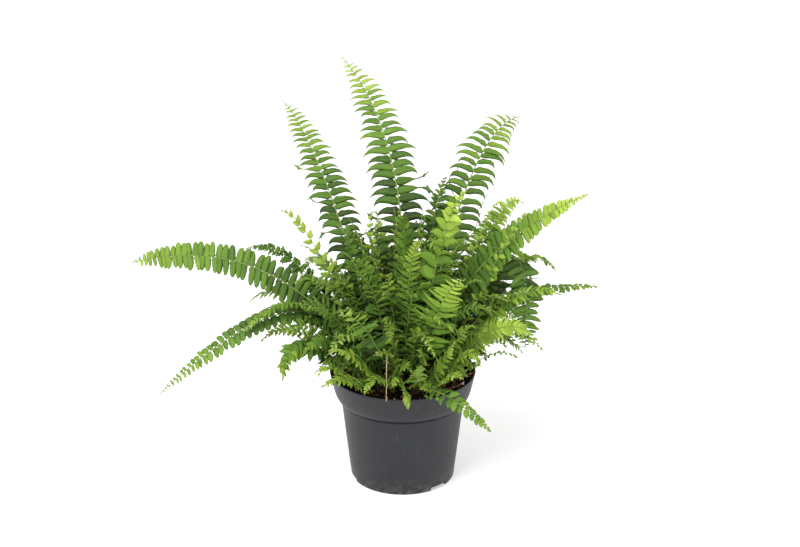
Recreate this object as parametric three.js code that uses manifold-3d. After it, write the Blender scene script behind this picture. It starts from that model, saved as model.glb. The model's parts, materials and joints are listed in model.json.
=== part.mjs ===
// A sword fern in a grower's pot: arching fronds with their leaflets, potting soil and a
// thin-walled moulded pot. Lengths are in millimetres and +Z is up. The origin is the centre
// of the pot's base, on the surface that it stands on. +X is to the right and +Y is away
// from someone who looks at the plant's front.

import * as THREE from 'three';
import { mergeVertices } from 'three/addons/utils/BufferGeometryUtils.js';
import Module from 'manifold-3d';

const wasm = await Module();
wasm.setup();

const vec = ( x, y, z ) => new THREE.Vector3( x, y, z );
const degrees = THREE.MathUtils.degToRad;

// Pot: a 12 cm round pot with a wide collar, a foot ring with three notches and drain holes.
const POT_HEIGHT = 94;
const RIM_RADIUS = 60;
const COLLAR_RADIUS = 56.6;
const COLLAR_BEND_Z = 79;
const COLLAR_FOOT_RADIUS = 52.4;
const COLLAR_FOOT_Z = 70.2;
const SHOULDER_RADIUS = 55;
const SHOULDER_Z = 73.8;
const WALL_TOP_RADIUS = 50.6;
const WALL_TOP_Z = 69.4;
const BASE_RADIUS = 42.6;
const EDGE_ROUND = 2.2;
const WALL = 1.4;
const STEP_INSET = 0.4;
const LIP_ROUND = 0.8;
const FOOT_RING_WIDTH = 4.5;
const FLOOR_UNDERSIDE = 3;
const FLOOR_TOP = 4.6;
const FLOOR_FILLET = 1.6;
const CENTRE_PAD_RADIUS = 14;
const PAD_DRAFT = 0.5;
const POT_SIDES = 40;
const NOTCH_ANGLES = [ 45, 165, 285 ];
const NOTCH_WIDTH = 18;
const NOTCH_HEIGHT = 3.6;
const SLOT_WIDTH = 11;
const SLOT_DEPTH = 6;
const DRAIN_COUNT = 6;
const DRAIN_RADIUS = 4.5;
const DRAIN_CIRCLE = 25;
const DRAIN_SIDES = 8;

// Soil: it stops a little below the rim and its top is uneven. The stalks stand in it, sunk in
// holes that leave them clear all round.
const SOIL_LEVEL = 87.5;
const SOIL_MOUND = 0.8;
const SOIL_ROUGH = 0.5;
const SOIL_WAVE = 5.5;
const SOIL_SLACK = 0.2;
const SOIL_SIDES = 20;
const CLEAR = 0.3;
const SUNK = 9;

// Frond kinds: leaflet pairs, longest leaflet, width of the rib at its base, bare part of the
// stalk, share of the spacing that a leaflet's root takes, half width at a leaflet's middle as a
// share of its root, forward sweep in degrees, how far the leaflets turn level and the droop of
// their outer half. Small leaflets are plain and straight to their tip, the others widen towards
// the middle and arch.
const KINDS = {
	tall: {
		pairs: 14, leaflet: 26, rib: 2.4, bare: 0.3, root: 0.6, wide: 0.66,
		sweep: 12, level: 0.7, droop: 0.8,
	},
	long: {
		pairs: 13, leaflet: 15, rib: 2.2, bare: 0.24, root: 0.6, wide: 0.7,
		sweep: 16, level: 0, droop: 0.45,
	},
	broad: {
		pairs: 11, leaflet: 19, rib: 2, bare: 0.3, root: 0.6, wide: 0.7,
		sweep: 20, level: 0.2, droop: 0.4,
	},
	mid: {
		pairs: 8, leaflet: 14, rib: 1.8, bare: 0.24, root: 1, wide: 0.42,
		sweep: 18, level: 0, droop: 0.3,
	},
	short: {
		pairs: 10, leaflet: 10, rib: 1.5, bare: 0.2, root: 1, wide: 0.4,
		sweep: 20, level: 0, droop: 0,
	},
	young: {
		pairs: 8, leaflet: 8, rib: 1.4, bare: 0.35, root: 0.6, wide: 0.66,
		sweep: 24, level: 0, droop: 0,
	},
};
const PLAIN_KINDS = [ 'short', 'young' ];

const RIB_TIP = 0.8;
const RIB_FLATNESS = 0.85;
const STALK_STEPS = 2;
const FIRST_SPACING = 1.25;

// Leaflets: they start at a share of their kind's length, soon reach it and taper to the tip.
const BLADE_THICKNESS = 0.7;
const LEAFLET_MIDDLE = 0.52;
const TIP_LEAFLET = 0.035;
const FIRST_LENGTH = 0.7;
const LENGTH_GROWTH = 1.5;
const TAPER_POWER = 2.2;
const TAPER_CURVE = 0.6;
const LEAST_LENGTH = 3;

// Room that a leaflet keeps from other fronds, from the pot's wall and rim, and from the soil.
const ROOM = 0.36;
const RIM_ROOM = 1;
const WALL_ROOM = 3;
const SOIL_ROOM = 3;

// Each frond: name, kind, where it stands in the soil (x, y), the middle of its rib, its tip,
// and the way that the upper side of its blade faces.
const FRONDS = [
	[ 'tall_centre', 'tall', [ 0, 14 ], [ - 6, 40, 245 ], [ - 49, 60, 342 ], [ 0, - 1, 0 ] ],
	[ 'tall_left', 'tall', [ - 14, 18 ], [ - 63, 50, 239 ], [ - 98, 65, 304 ], [ 0, - 1, 0 ] ],
	[ 'tall_right', 'tall', [ 14, 20 ], [ 54, 55, 237 ], [ 95, 50, 295 ], [ 0, - 1, 0.4 ] ],
	[ 'left_long', 'long', [ - 28, 6 ], [ - 110, 10, 175 ], [ - 217, - 10, 192 ], [ 0, - 1, 1.2 ] ],
	[ 'left_low', 'long', [ - 34, - 10 ], [ - 85, - 30, 158 ], [ - 193, - 60, 99 ], [ 0, - 0.6, 1 ] ],
	[ 'right_long', 'broad', [ 26, - 2 ], [ 59, - 20, 188 ], [ 143, - 40, 260 ], [ 0, - 0.7, 1 ] ],
	[ 'right_edge', 'mid', [ 32, 14 ], [ 86, 40, 136 ], [ 163, 50, 147 ], [ 0, 0, 1 ] ],
	[ 'right_tip', 'mid', [ 22, 8 ], [ 70, 20, 208 ], [ 98, 20, 230 ], [ 0, - 0.6, 1 ] ],
	[ 'face_front', 'mid', [ 8, - 20 ], [ 28, - 60, 172 ], [ 48, - 80, 205 ], [ - 0.6, - 1, 0.4 ] ],
	[ 'face_centre', 'broad', [ 10, - 6 ], [ 30, - 45, 220 ], [ 49, - 60, 270 ], [ 0, - 1, 0.3 ] ],
	[ 'back_upright_right', 'mid', [ 8, 28 ], [ 25, 45, 205 ], [ 36, 60, 240 ], [ 0, - 1, 0.3 ] ],
	[ 'right_bright', 'mid', [ 28, - 14 ], [ 68, - 50, 148 ], [ 98, - 75, 158 ], [ 0, - 0.5, 1 ] ],
	[ 'right_toothed', 'mid', [ 34, - 4 ], [ 82, - 25, 162 ], [ 125, - 40, 176 ], [ 0, - 0.5, 1 ] ],
	[ 'right_hanging', 'broad', [ 38, 4 ], [ 88, 0, 190 ], [ 98, - 30, 124 ], [ 0.6, - 0.8, 0.6 ] ],
	[ 'right_arch', 'mid', [ 30, 6 ], [ 82, 5, 190 ], [ 104, 0, 168 ], [ 0, - 0.6, 1 ] ],
	[ 'front_spill', 'mid', [ 14, - 34 ], [ 34, - 75, 105 ], [ 68, - 95, 84 ], [ 0, - 0.6, 1 ] ],
	[ 'left_droop', 'mid', [ - 36, - 20 ], [ - 78, - 50, 136 ], [ - 94, - 75, 118 ], [ - 0.4, - 0.6, 1 ] ],
	[ 'left_back', 'mid', [ - 26, 20 ], [ - 85, 45, 166 ], [ - 131, 60, 177 ], [ 0, - 0.6, 1 ] ],
	[ 'left_inner', 'mid', [ - 16, 6 ], [ - 40, 15, 183 ], [ - 44, 25, 210 ], [ 0, - 1, 0.4 ] ],
	[ 'left_upper', 'mid', [ - 32, 10 ], [ - 85, 20, 148 ], [ - 126, 25, 144 ], [ 0, - 0.4, 1 ] ],
	[ 'left_young', 'young', [ - 22, - 4 ], [ - 68, - 8, 201 ], [ - 96, - 20, 239 ], [ 0, - 1, 0.5 ] ],
	[ 'left_pale', 'young', [ - 38, - 2 ], [ - 83, - 15, 133 ], [ - 113, - 35, 134 ], [ 0, - 0.6, 1 ] ],
	[ 'left_wisp', 'young', [ - 36, - 28 ], [ - 55, - 60, 122 ], [ - 66, - 70, 120 ], [ 0, - 0.6, 1 ] ],
	[ 'face_left', 'mid', [ - 8, - 18 ], [ - 28, - 75, 160 ], [ - 48, - 110, 188 ], [ - 0.5, - 0.4, 1 ] ],
	[ 'left_rim_upper', 'short', [ - 14, - 26 ], [ - 37, - 68, 134 ], [ - 55, - 85, 148 ], [ 0, - 0.6, 1 ] ],
	[ 'left_rim_lower', 'short', [ - 22, - 34 ], [ - 44, - 75, 118 ], [ - 63, - 90, 119 ], [ 0, - 0.6, 1 ] ],
	[ 'front_left_small', 'short', [ - 6, - 30 ], [ - 20, - 72, 118 ], [ - 30, - 86, 112 ], [ 0, - 0.7, 1 ] ],
	[ 'front_small', 'short', [ 2, - 40 ], [ 2, - 68, 106 ], [ 4, - 82, 98 ], [ 0.3, - 0.8, 0.6 ] ],
	[ 'front_curl', 'short', [ 18, - 24 ], [ 32, - 65, 130 ], [ 40, - 78, 152 ], [ 0, - 0.8, 0.7 ] ],
	[ 'right_rim', 'short', [ 30, - 28 ], [ 48, - 66, 136 ], [ 60, - 84, 134 ], [ 0, - 0.7, 1 ] ],
	[ 'right_curl', 'short', [ 24, - 20 ], [ 44, - 58, 148 ], [ 55, - 72, 162 ], [ 0, - 0.8, 0.7 ] ],
	[ 'wiry_low', 'young', [ 40, - 16 ], [ 68, - 45, 126 ], [ 90, - 55, 129 ], [ 0, - 0.6, 1 ] ],
	[ 'wiry_high', 'young', [ 42, - 6 ], [ 66, - 25, 126 ], [ 82, - 38, 131 ], [ 0, - 0.6, 1 ] ],
	[ 'centre_young', 'young', [ - 6, 2 ], [ - 25, - 5, 205 ], [ - 20, 0, 229 ], [ 0, - 1, 0.3 ] ],
	[ 'centre_dark', 'mid', [ 2, - 4 ], [ 2, - 12, 203 ], [ - 1, - 40, 240 ], [ 0, - 1, 0.5 ] ],
	[ 'centre_lacy', 'mid', [ 0, - 14 ], [ 6, - 40, 197 ], [ 16, - 60, 227 ], [ 0, - 1, 0.5 ] ],
	[ 'left_lacy', 'mid', [ - 12, - 10 ], [ - 24, - 30, 181 ], [ - 40, - 45, 206 ], [ 0, - 1, 0.5 ] ],
	[ 'right_young', 'young', [ 18, 2 ], [ 61, 10, 204 ], [ 77, 15, 233 ], [ 0, - 1, 0.5 ] ],
	[ 'right_small', 'young', [ 28, - 10 ], [ 76, - 30, 206 ], [ 95, - 45, 246 ], [ 0, - 1, 0.5 ] ],
	[ 'left_crest', 'short', [ - 24, - 14 ], [ - 52, - 48, 158 ], [ - 75, - 70, 175 ], [ - 0.2, - 0.8, 1 ] ],
	[ 'front_low', 'short', [ 8, - 34 ], [ 12, - 72, 122 ], [ 14, - 92, 138 ], [ 0, - 0.6, 1 ] ],
	[ 'front_right_low', 'short', [ 22, - 36 ], [ 36, - 72, 120 ], [ 46, - 94, 128 ], [ 0, - 0.6, 1 ] ],
	[ 'front_fill', 'short', [ - 3, - 22 ], [ - 10, - 58, 150 ], [ - 14, - 80, 172 ], [ 0, - 0.7, 1 ] ],
	[ 'left_fill', 'short', [ - 29, - 22 ], [ - 58, - 58, 142 ], [ - 78, - 78, 140 ], [ 0, - 0.6, 1 ] ],
	[ 'back_left_low', 'mid', [ - 30, 28 ], [ - 65, 80, 155 ], [ - 90, 118, 125 ], [ - 0.2, 0.5, 1 ] ],
	[ 'back_left', 'mid', [ - 20, 34 ], [ - 38, 90, 170 ], [ - 50, 142, 145 ], [ 0, 0.5, 1 ] ],
	[ 'back_centre', 'mid', [ - 2, 36 ], [ 2, 90, 175 ], [ 8, 138, 160 ], [ 0, 0.5, 1 ] ],
	[ 'back_right', 'mid', [ 18, 34 ], [ 38, 88, 165 ], [ 58, 140, 142 ], [ 0, 0.5, 1 ] ],
	[ 'back_right_low', 'mid', [ 32, 26 ], [ 70, 75, 150 ], [ 104, 110, 122 ], [ 0.2, 0.5, 1 ] ],
	[ 'back_rim', 'short', [ 8, 42 ], [ 20, 78, 125 ], [ 30, 100, 112 ], [ 0, 0.5, 1 ] ],
	[ 'back_rim_left', 'short', [ - 14, 44 ], [ - 34, 76, 128 ], [ - 48, 96, 114 ], [ 0, 0.5, 1 ] ],
	[ 'back_side_right', 'mid', [ 36, 22 ], [ 90, 56, 162 ], [ 130, 78, 150 ], [ 0.2, 0.2, 1 ] ],
	[ 'back_side_left', 'short', [ - 36, 16 ], [ - 68, 52, 140 ], [ - 92, 66, 136 ], [ - 0.2, 0.2, 1 ] ],
	[ 'back_upright_left', 'mid', [ - 6, 22 ], [ - 16, 62, 172 ], [ - 22, 92, 192 ], [ 0, - 0.5, 0.8 ] ],
];

const MATERIALS = {
	pot: new THREE.MeshStandardMaterial( { color: 0x45464a, roughness: 0.55, metalness: 0 } ),
	soil: new THREE.MeshStandardMaterial( { color: 0x2a1a12, roughness: 1, metalness: 0 } ),
	tall: new THREE.MeshStandardMaterial( { color: 0x3f7024, roughness: 0.5, metalness: 0 } ),
	long: new THREE.MeshStandardMaterial( { color: 0x3f7024, roughness: 0.5, metalness: 0 } ),
	broad: new THREE.MeshStandardMaterial( { color: 0x5a9030, roughness: 0.5, metalness: 0 } ),
	mid: new THREE.MeshStandardMaterial( { color: 0x5a9030, roughness: 0.5, metalness: 0 } ),
	short: new THREE.MeshStandardMaterial( { color: 0x7fb53c, roughness: 0.5, metalness: 0 } ),
	young: new THREE.MeshStandardMaterial( { color: 0x93c443, roughness: 0.5, metalness: 0 } ),
};

// Solids for cutting

function toSolid( geometry ) {

	const bare = geometry.clone();
	bare.deleteAttribute( 'normal' );
	bare.deleteAttribute( 'uv' );
	const merged = mergeVertices( bare, 1e-4 );
	return new wasm.Manifold( new wasm.Mesh( {
		numProp: 3,
		vertProperties: new Float32Array( merged.attributes.position.array ),
		triVerts: new Uint32Array( merged.index.array ),
	} ) );

}

function toGeometry( solid ) {

	const mesh = solid.getMesh();
	const geometry = new THREE.BufferGeometry();
	geometry.setAttribute( 'position', new THREE.BufferAttribute( mesh.vertProperties, 3 ) );
	geometry.setIndex( new THREE.BufferAttribute( mesh.triVerts, 1 ) );
	return geometry;

}

function lathe( profile, sides ) {

	const outline = profile.map( ( [ r, z ] ) => new THREE.Vector2( r, z ) );
	const geometry = new THREE.LatheGeometry( outline, sides );
	geometry.rotateX( Math.PI / 2 );
	return geometry;

}

function arc( radius, z, round, from, to, steps ) {

	const points = [];
	for ( let i = 0; i <= steps; i ++ ) {

		const angle = degrees( from + ( to - from ) * i / steps );
		points.push( [ radius + round * Math.cos( angle ), z + round * Math.sin( angle ) ] );

	}

	return points;

}

// Pot

// Outside radius at a height, from the base edge up to the lip.
const OUTSIDE = [
	[ BASE_RADIUS, EDGE_ROUND ],
	[ WALL_TOP_RADIUS, WALL_TOP_Z ],
	[ COLLAR_FOOT_RADIUS, COLLAR_FOOT_Z ],
	[ SHOULDER_RADIUS, SHOULDER_Z ],
	[ COLLAR_RADIUS, COLLAR_BEND_Z ],
	[ RIM_RADIUS, POT_HEIGHT - LIP_ROUND ],
];

function insideRadius( index ) {

	return OUTSIDE[ index ][ 0 ] - WALL;

}

function makePot() {

	const footInside = BASE_RADIUS - EDGE_ROUND - FOOT_RING_WIDTH;
	const lipRadius = RIM_RADIUS - LIP_ROUND;
	const profile = [
		[ 0, 0 ],
		[ CENTRE_PAD_RADIUS, 0 ],
		[ CENTRE_PAD_RADIUS + PAD_DRAFT, FLOOR_UNDERSIDE ],
		[ footInside, FLOOR_UNDERSIDE ],
		[ footInside + PAD_DRAFT, 0 ],
		...arc( BASE_RADIUS - EDGE_ROUND, EDGE_ROUND, EDGE_ROUND, - 90, 0, 2 ),
		...OUTSIDE.slice( 1, - 1 ),
		...arc( lipRadius, POT_HEIGHT - LIP_ROUND, LIP_ROUND, 0, 180, 2 ),
		[ insideRadius( 4 ), COLLAR_BEND_Z ],
		[ insideRadius( 3 ), SHOULDER_Z ],
		[ insideRadius( 2 ) - STEP_INSET, COLLAR_FOOT_Z ],
		[ insideRadius( 1 ), WALL_TOP_Z - WALL ],
		[ insideRadius( 0 ), FLOOR_TOP + FLOOR_FILLET ],
		[ insideRadius( 0 ) - FLOOR_FILLET, FLOOR_TOP ],
		[ 0, FLOOR_TOP ],
	];
	const notchDepth = 2 * ( FOOT_RING_WIDTH + EDGE_ROUND );
	const slotHeight = 2 * FLOOR_TOP + 2;
	const drainHeight = 3 * FLOOR_TOP;
	let pot = toSolid( lathe( profile, POT_SIDES ) );

	for ( const angle of NOTCH_ANGLES ) {

		const notch = new THREE.BoxGeometry( NOTCH_WIDTH, notchDepth, 2 * NOTCH_HEIGHT );
		notch.translate( 0, - BASE_RADIUS, 0 );
		notch.rotateZ( degrees( angle ) );
		const slot = new THREE.BoxGeometry( SLOT_WIDTH, SLOT_DEPTH, slotHeight );
		slot.translate( 0, - footInside + SLOT_DEPTH / 2 - 1, 0 );
		slot.rotateZ( degrees( angle ) );
		pot = pot.subtract( toSolid( notch ) ).subtract( toSolid( slot ) );

	}

	for ( let i = 0; i < DRAIN_COUNT; i ++ ) {

		const drain = new THREE.CylinderGeometry( DRAIN_RADIUS, DRAIN_RADIUS, drainHeight, DRAIN_SIDES );
		drain.rotateX( Math.PI / 2 );
		drain.translate( 0, - DRAIN_CIRCLE, 0 );
		drain.rotateZ( degrees( NOTCH_ANGLES[ 0 ] + ( i + 0.5 ) * 360 / DRAIN_COUNT ) );
		pot = pot.subtract( toSolid( drain ) );

	}

	return toGeometry( pot );

}

// Fronds

function frondCurve( [ , , base, middle, tip ] ) {

	const start = vec( ...base, SOIL_LEVEL );
	const end = vec( ...tip );
	const control = vec( ...middle ).multiplyScalar( 2 )
		.addScaledVector( start, - 0.5 )
		.addScaledVector( end, - 0.5 );
	return new THREE.QuadraticBezierCurve3( start, control, end );

}

// Directions along the rib: along it, to its right and out of the blade's upper side.
function ribFrame( curve, facing, u ) {

	const across = curve.getTangentAt( 0.5 ).cross( vec( ...facing ) );
	const along = curve.getTangentAt( u );
	const right = across.addScaledVector( along, - across.dot( along ) ).normalize();
	const up = right.clone().cross( along );
	return { along, right, up };

}

function ribSection( centre, frame, width ) {

	const half = width / 2;
	const corners = [ [ 1, 1 ], [ - 1, 1 ], [ - 1, - 1 ], [ 1, - 1 ] ];
	return corners.map( ( [ side, top ] ) => centre.clone()
		.addScaledVector( frame.right, side * half )
		.addScaledVector( frame.up, top * half * RIB_FLATNESS ) );

}

// Where the rib has sections: up the bare stalk, then at both ends of each leaflet's root.
function ribStations( kind ) {

	const stations = [];
	for ( let i = 0; i < STALK_STEPS; i ++ ) {

		stations.push( { u: kind.bare * i / STALK_STEPS } );

	}

	const end = 1 - TIP_LEAFLET;
	const pace = ( q ) => q * ( FIRST_SPACING - ( FIRST_SPACING - 1 ) * q );
	const place = ( q ) => kind.bare + ( end - kind.bare ) * pace( q );
	for ( let i = 0; i < kind.pairs; i ++ ) {

		const from = place( i / kind.pairs );
		const to = place( ( i + 1 ) / kind.pairs );
		stations.push( { u: from, leaflets: true, q: ( i + 0.5 ) / kind.pairs } );
		if ( kind.root < 1 ) stations.push( { u: from + kind.root * ( to - from ) } );

	}

	stations.push( { u: end } );
	return stations;

}

function leafletLength( kind, q ) {

	const swell = Math.min( 1, FIRST_LENGTH + LENGTH_GROWTH * q );
	const taper = ( 1 - q ** TAPER_POWER ) ** TAPER_CURVE;
	return Math.max( kind.leaflet * swell * taper, LEAST_LENGTH );

}

// The outer corners of a leaflet that grows out of the side of the rib at four root corners.
// extra makes it thicker, wider and longer, to test the room round it.
function leafletShape( root, frame, side, kind, length, lift, extra ) {

	const centre = vec( 0, 0, 0 );
	for ( const corner of root ) {

		centre.addScaledVector( corner, 1 / root.length );

	}

	const sweep = degrees( kind.sweep );
	const out = frame.right.clone().multiplyScalar( side * Math.cos( sweep ) )
		.addScaledVector( frame.along, Math.sin( sweep ) );
	out.z *= 1 - kind.level;
	out.addScaledVector( frame.up, lift ).normalize();
	const forward = frame.along.clone().addScaledVector( out, - frame.along.dot( out ) ).normalize();
	const top = out.clone().cross( forward ).multiplyScalar( side );
	const rootWidth = root[ 0 ].distanceTo( root[ 1 ] );
	const halfWidth = rootWidth * kind.wide + extra;
	const halfThickness = BLADE_THICKNESS / 2 + extra;
	const middle = centre.clone().addScaledVector( out, length * LEAFLET_MIDDLE );
	const outer = out.clone().add( vec( 0, 0, - kind.droop ) ).normalize();
	const tip = middle.clone().addScaledVector( outer, length * LEAFLET_MIDDLE + extra );
	const signs = [ [ - 1, - side ], [ 1, - side ], [ 1, side ], [ - 1, side ] ];
	const corners = signs.map( ( [ ahead, above ] ) => middle.clone()
		.addScaledVector( forward, ahead * halfWidth )
		.addScaledVector( top, above * halfThickness ) );
	const ends = [ - side, side ].map( ( above ) =>
		tip.clone().addScaledVector( top, above * halfThickness ) );
	return { corners, tip, ends };

}

// Triangles of an arched leaflet, split alike on its upper and lower face.
function archedFaces( root, { corners, tip } ) {

	const faces = [
		[ root[ 0 ], root[ 1 ], corners[ 1 ] ], [ root[ 0 ], corners[ 1 ], corners[ 0 ] ],
		[ root[ 1 ], root[ 2 ], corners[ 2 ] ], [ root[ 1 ], corners[ 2 ], corners[ 1 ] ],
		[ root[ 3 ], corners[ 3 ], corners[ 2 ] ], [ root[ 3 ], corners[ 2 ], root[ 2 ] ],
		[ root[ 3 ], root[ 0 ], corners[ 0 ] ], [ root[ 3 ], corners[ 0 ], corners[ 3 ] ],
	];
	corners.forEach( ( corner, i ) => faces.push( [ corner, corners[ ( i + 1 ) % 4 ], tip ] ) );
	return faces;

}

function plainFaces( root, { ends } ) {

	return [
		[ root[ 0 ], root[ 1 ], ends[ 0 ] ], [ root[ 2 ], root[ 3 ], ends[ 1 ] ],
		[ root[ 1 ], root[ 2 ], ends[ 1 ] ], [ root[ 1 ], ends[ 1 ], ends[ 0 ] ],
		[ root[ 3 ], root[ 0 ], ends[ 0 ] ], [ root[ 3 ], ends[ 0 ], ends[ 1 ] ],
	];

}

// Room between leaflets: what is placed so far, and a test of a new piece against it.
const placed = [];
const BESIDE = 4;

function block( faces, owner ) {

	const box = new THREE.Box3().setFromPoints( faces.flat() );
	return { faces, box, ...owner };

}

function edgeCrosses( faceA, faceB ) {

	const ray = new THREE.Ray();
	const hit = vec( 0, 0, 0 );
	for ( let i = 0; i < 3; i ++ ) {

		const from = faceA[ i ];
		const to = faceA[ ( i + 1 ) % 3 ];
		if ( faceB.includes( from ) || faceB.includes( to ) ) continue;
		ray.origin.copy( from );
		ray.direction.copy( to ).sub( from );
		const length = ray.direction.length();
		ray.direction.divideScalar( length );
		const meets = ray.intersectTriangle( ...faceB, false, hit );
		if ( meets && hit.distanceTo( from ) <= length ) return true;

	}

	return false;

}

function crosses( a, b ) {

	if ( ! a.box.intersectsBox( b.box ) ) return false;
	return a.faces.some( ( faceA ) => b.faces.some( ( faceB ) =>
		edgeCrosses( faceA, faceB ) || edgeCrosses( faceB, faceA ) ) );

}

function touchesPot( point ) {

	const reach = Math.hypot( point.x, point.y );
	if ( point.z > POT_HEIGHT + RIM_ROOM || reach > RIM_RADIUS + RIM_ROOM ) return false;
	return reach > COLLAR_RADIUS - WALL_ROOM || point.z < SOIL_LEVEL + SOIL_ROOM;

}

// A leaflet has room where it is clear of the pot, and a wider copy of it of everything placed.
// Beside it on its own rib the leaflet itself only has to miss its neighbours.
function hasRoom( root, fat, faces, owner ) {

	const points = [ fat.tip, ...fat.corners ];
	for ( const share of [ 0.2, 0.4, 0.6, 0.8 ] ) {

		points.push( root[ 0 ].clone().lerp( fat.corners[ 0 ], share ) );
		points.push( fat.corners[ 0 ].clone().lerp( fat.tip, share ) );

	}

	if ( points.some( touchesPot ) ) return false;
	const wide = block( archedFaces( root, fat ), owner );
	const exact = block( faces, owner );
	return ! placed.some( ( other ) => {

		const apart = Math.abs( other.station - owner.station );
		const beside = other.frond === owner.frond && apart <= BESIDE;
		return crosses( beside ? exact : wide, other );

	} );

}

function signedVolume( faces ) {

	let volume = 0;
	for ( const [ a, b, c ] of faces ) volume += a.dot( b.clone().cross( c ) ) / 6;
	return volume;

}

function facesToGeometry( faces ) {

	const ordered = signedVolume( faces ) > 0 ? faces : faces.map( ( [ a, b, c ] ) => [ a, c, b ] );
	const geometry = new THREE.BufferGeometry();
	geometry.setFromPoints( ordered.flat() );
	return mergeVertices( geometry, 1e-5 );

}

// The rib of a frond: its sections from the end that is sunk in the soil to the tip.
function makeRib( row ) {

	const kind = KINDS[ row[ 1 ] ];
	const curve = frondCurve( row );
	const stations = ribStations( kind );
	for ( const station of stations ) {

		station.frame = ribFrame( curve, row[ 5 ], station.u );
		station.width = THREE.MathUtils.lerp( kind.rib, RIB_TIP, station.u );
		station.section = ribSection( curve.getPointAt( station.u ), station.frame, station.width );

	}

	const first = stations[ 0 ];
	const start = curve.getPoint( 0 );
	const sunkEnd = start.clone().addScaledVector( first.frame.along, - SUNK );
	stations.unshift( { ...first, section: ribSection( sunkEnd, first.frame, first.width ) } );
	const tip = curve.getPoint( 1 );
	return { row, kind, stations, tip, start };

}

function ribSides( stations, i ) {

	const sides = [];
	const from = stations[ i ].section;
	const to = stations[ i + 1 ].section;
	for ( let k = 0; k < 4; k ++ ) {

		const next = ( k + 1 ) % 4;
		sides.push( [ from[ k ], to[ k ], to[ next ], from[ next ] ] );

	}

	return sides;

}

const splitQuad = ( [ a, b, c, d ] ) => [ [ a, b, c ], [ a, c, d ] ];

function tipFaces( { stations, tip } ) {

	const last = stations[ stations.length - 1 ].section;
	return last.map( ( corner, k ) => [ corner, tip, last[ ( k + 1 ) % 4 ] ] );

}

function placeRib( rib ) {

	for ( let i = 0; i + 1 < rib.stations.length; i ++ ) {

		const faces = ribSides( rib.stations, i ).flatMap( splitQuad );
		placed.push( block( faces, { frond: rib.row[ 0 ], station: i } ) );

	}

	placed.push( block( tipFaces( rib ), { frond: rib.row[ 0 ], station: rib.stations.length } ) );

}

// A leaflet in the first posture that is clear of everything, or nothing where none is.
const LIFTS = [ 0, 0.3, - 0.3, 0.6, - 0.6, 0.95 ];
const LENGTHS = [ 1, 0.8, 0.6 ];

function growLeaflet( rib, i, side, root ) {

	const { kind, stations, row } = rib;
	const owner = { frond: row[ 0 ], station: i };
	const makeFaces = PLAIN_KINDS.includes( row[ 1 ] ) ? plainFaces : archedFaces;
	const full = leafletLength( kind, stations[ i ].q );
	for ( const share of LENGTHS ) {

		for ( const lift of LIFTS ) {

			const shape = ( extra ) =>
				leafletShape( root, stations[ i ].frame, side, kind, full * share, lift, extra );
			const faces = makeFaces( root, shape( 0 ) );
			if ( ! hasRoom( root, shape( ROOM ), faces, owner ) ) continue;
			placed.push( block( faces, owner ) );
			return faces;

		}

	}

	return splitQuad( root );

}

function growFrond( rib ) {

	const { stations } = rib;
	const faces = splitQuad( stations[ 0 ].section );
	for ( let i = 0; i + 1 < stations.length; i ++ ) {

		ribSides( stations, i ).forEach( ( quad, k ) => {

			const side = k === 3 ? 1 : - 1;
			const leafy = stations[ i ].leaflets && k % 2 === 1;
			faces.push( ...( leafy ? growLeaflet( rib, i, side, quad ) : splitQuad( quad ) ) );

		} );

	}

	return facesToGeometry( [ ...faces, ...tipFaces( rib ) ] );

}

// Soil

function soilHeight( x, y ) {

	const reach = Math.hypot( x, y ) / RIM_RADIUS;
	const mound = SOIL_MOUND * ( 1 - 2 * reach * reach );
	const waves = SOIL_ROUGH * Math.sin( x / SOIL_WAVE ) * Math.cos( y / SOIL_WAVE );
	return SOIL_LEVEL + mound + waves;

}

function stalkHole( rib ) {

	const first = rib.stations[ 0 ];
	const along = first.frame.along;
	const width = first.width + 2 * CLEAR;
	const deep = rib.start.clone().addScaledVector( along, - SUNK - CLEAR );
	const high = rib.start.clone().addScaledVector( along, SUNK );
	const stations = [ deep, high ].map( ( centre ) => {

		return { section: ribSection( centre, first.frame, width ) };

	} );
	const faces = ribSides( stations, 0 ).flatMap( splitQuad );
	const [ a, b, c, d ] = stations[ 1 ].section;
	faces.push( ...splitQuad( stations[ 0 ].section ), ...splitQuad( [ d, c, b, a ] ) );
	return toSolid( facesToGeometry( faces ) );

}

function makeSoil( ribs ) {

	const inside = ( index ) => insideRadius( index ) - CLEAR - SOIL_SLACK;
	const edgeRadius = THREE.MathUtils.lerp( inside( 4 ), inside( 5 ), 0.5 );
	const profile = [
		[ 0, FLOOR_TOP + CLEAR ],
		[ inside( 0 ) - FLOOR_FILLET, FLOOR_TOP + CLEAR ],
		[ inside( 0 ), FLOOR_TOP + FLOOR_FILLET + CLEAR ],
		[ inside( 1 ), WALL_TOP_Z - WALL ],
		[ inside( 2 ) - STEP_INSET, COLLAR_FOOT_Z + CLEAR ],
		[ inside( 4 ), COLLAR_BEND_Z ],
		[ edgeRadius, SOIL_LEVEL - 1 ],
		[ edgeRadius * 0.6, SOIL_LEVEL ],
		[ 0, SOIL_LEVEL ],
	];
	const geometry = lathe( profile, SOIL_SIDES );
	const points = geometry.attributes.position;
	for ( let i = 0; i < points.count; i ++ ) {

		if ( points.getZ( i ) < SOIL_LEVEL - 0.5 ) continue;
		points.setZ( i, soilHeight( points.getX( i ), points.getY( i ) ) );

	}

	let soil = toSolid( geometry );
	for ( const rib of ribs ) {

		soil = soil.subtract( stalkHole( rib ) );

	}

	return toGeometry( soil );

}

// The whole plant

function addMesh( group, name, geometry, material ) {

	geometry.computeVertexNormals();
	const mesh = new THREE.Mesh( geometry, material );
	mesh.name = name;
	group.add( mesh );

}

const fern = new THREE.Group();
const ribs = FRONDS.map( makeRib );
ribs.forEach( placeRib );

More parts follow.
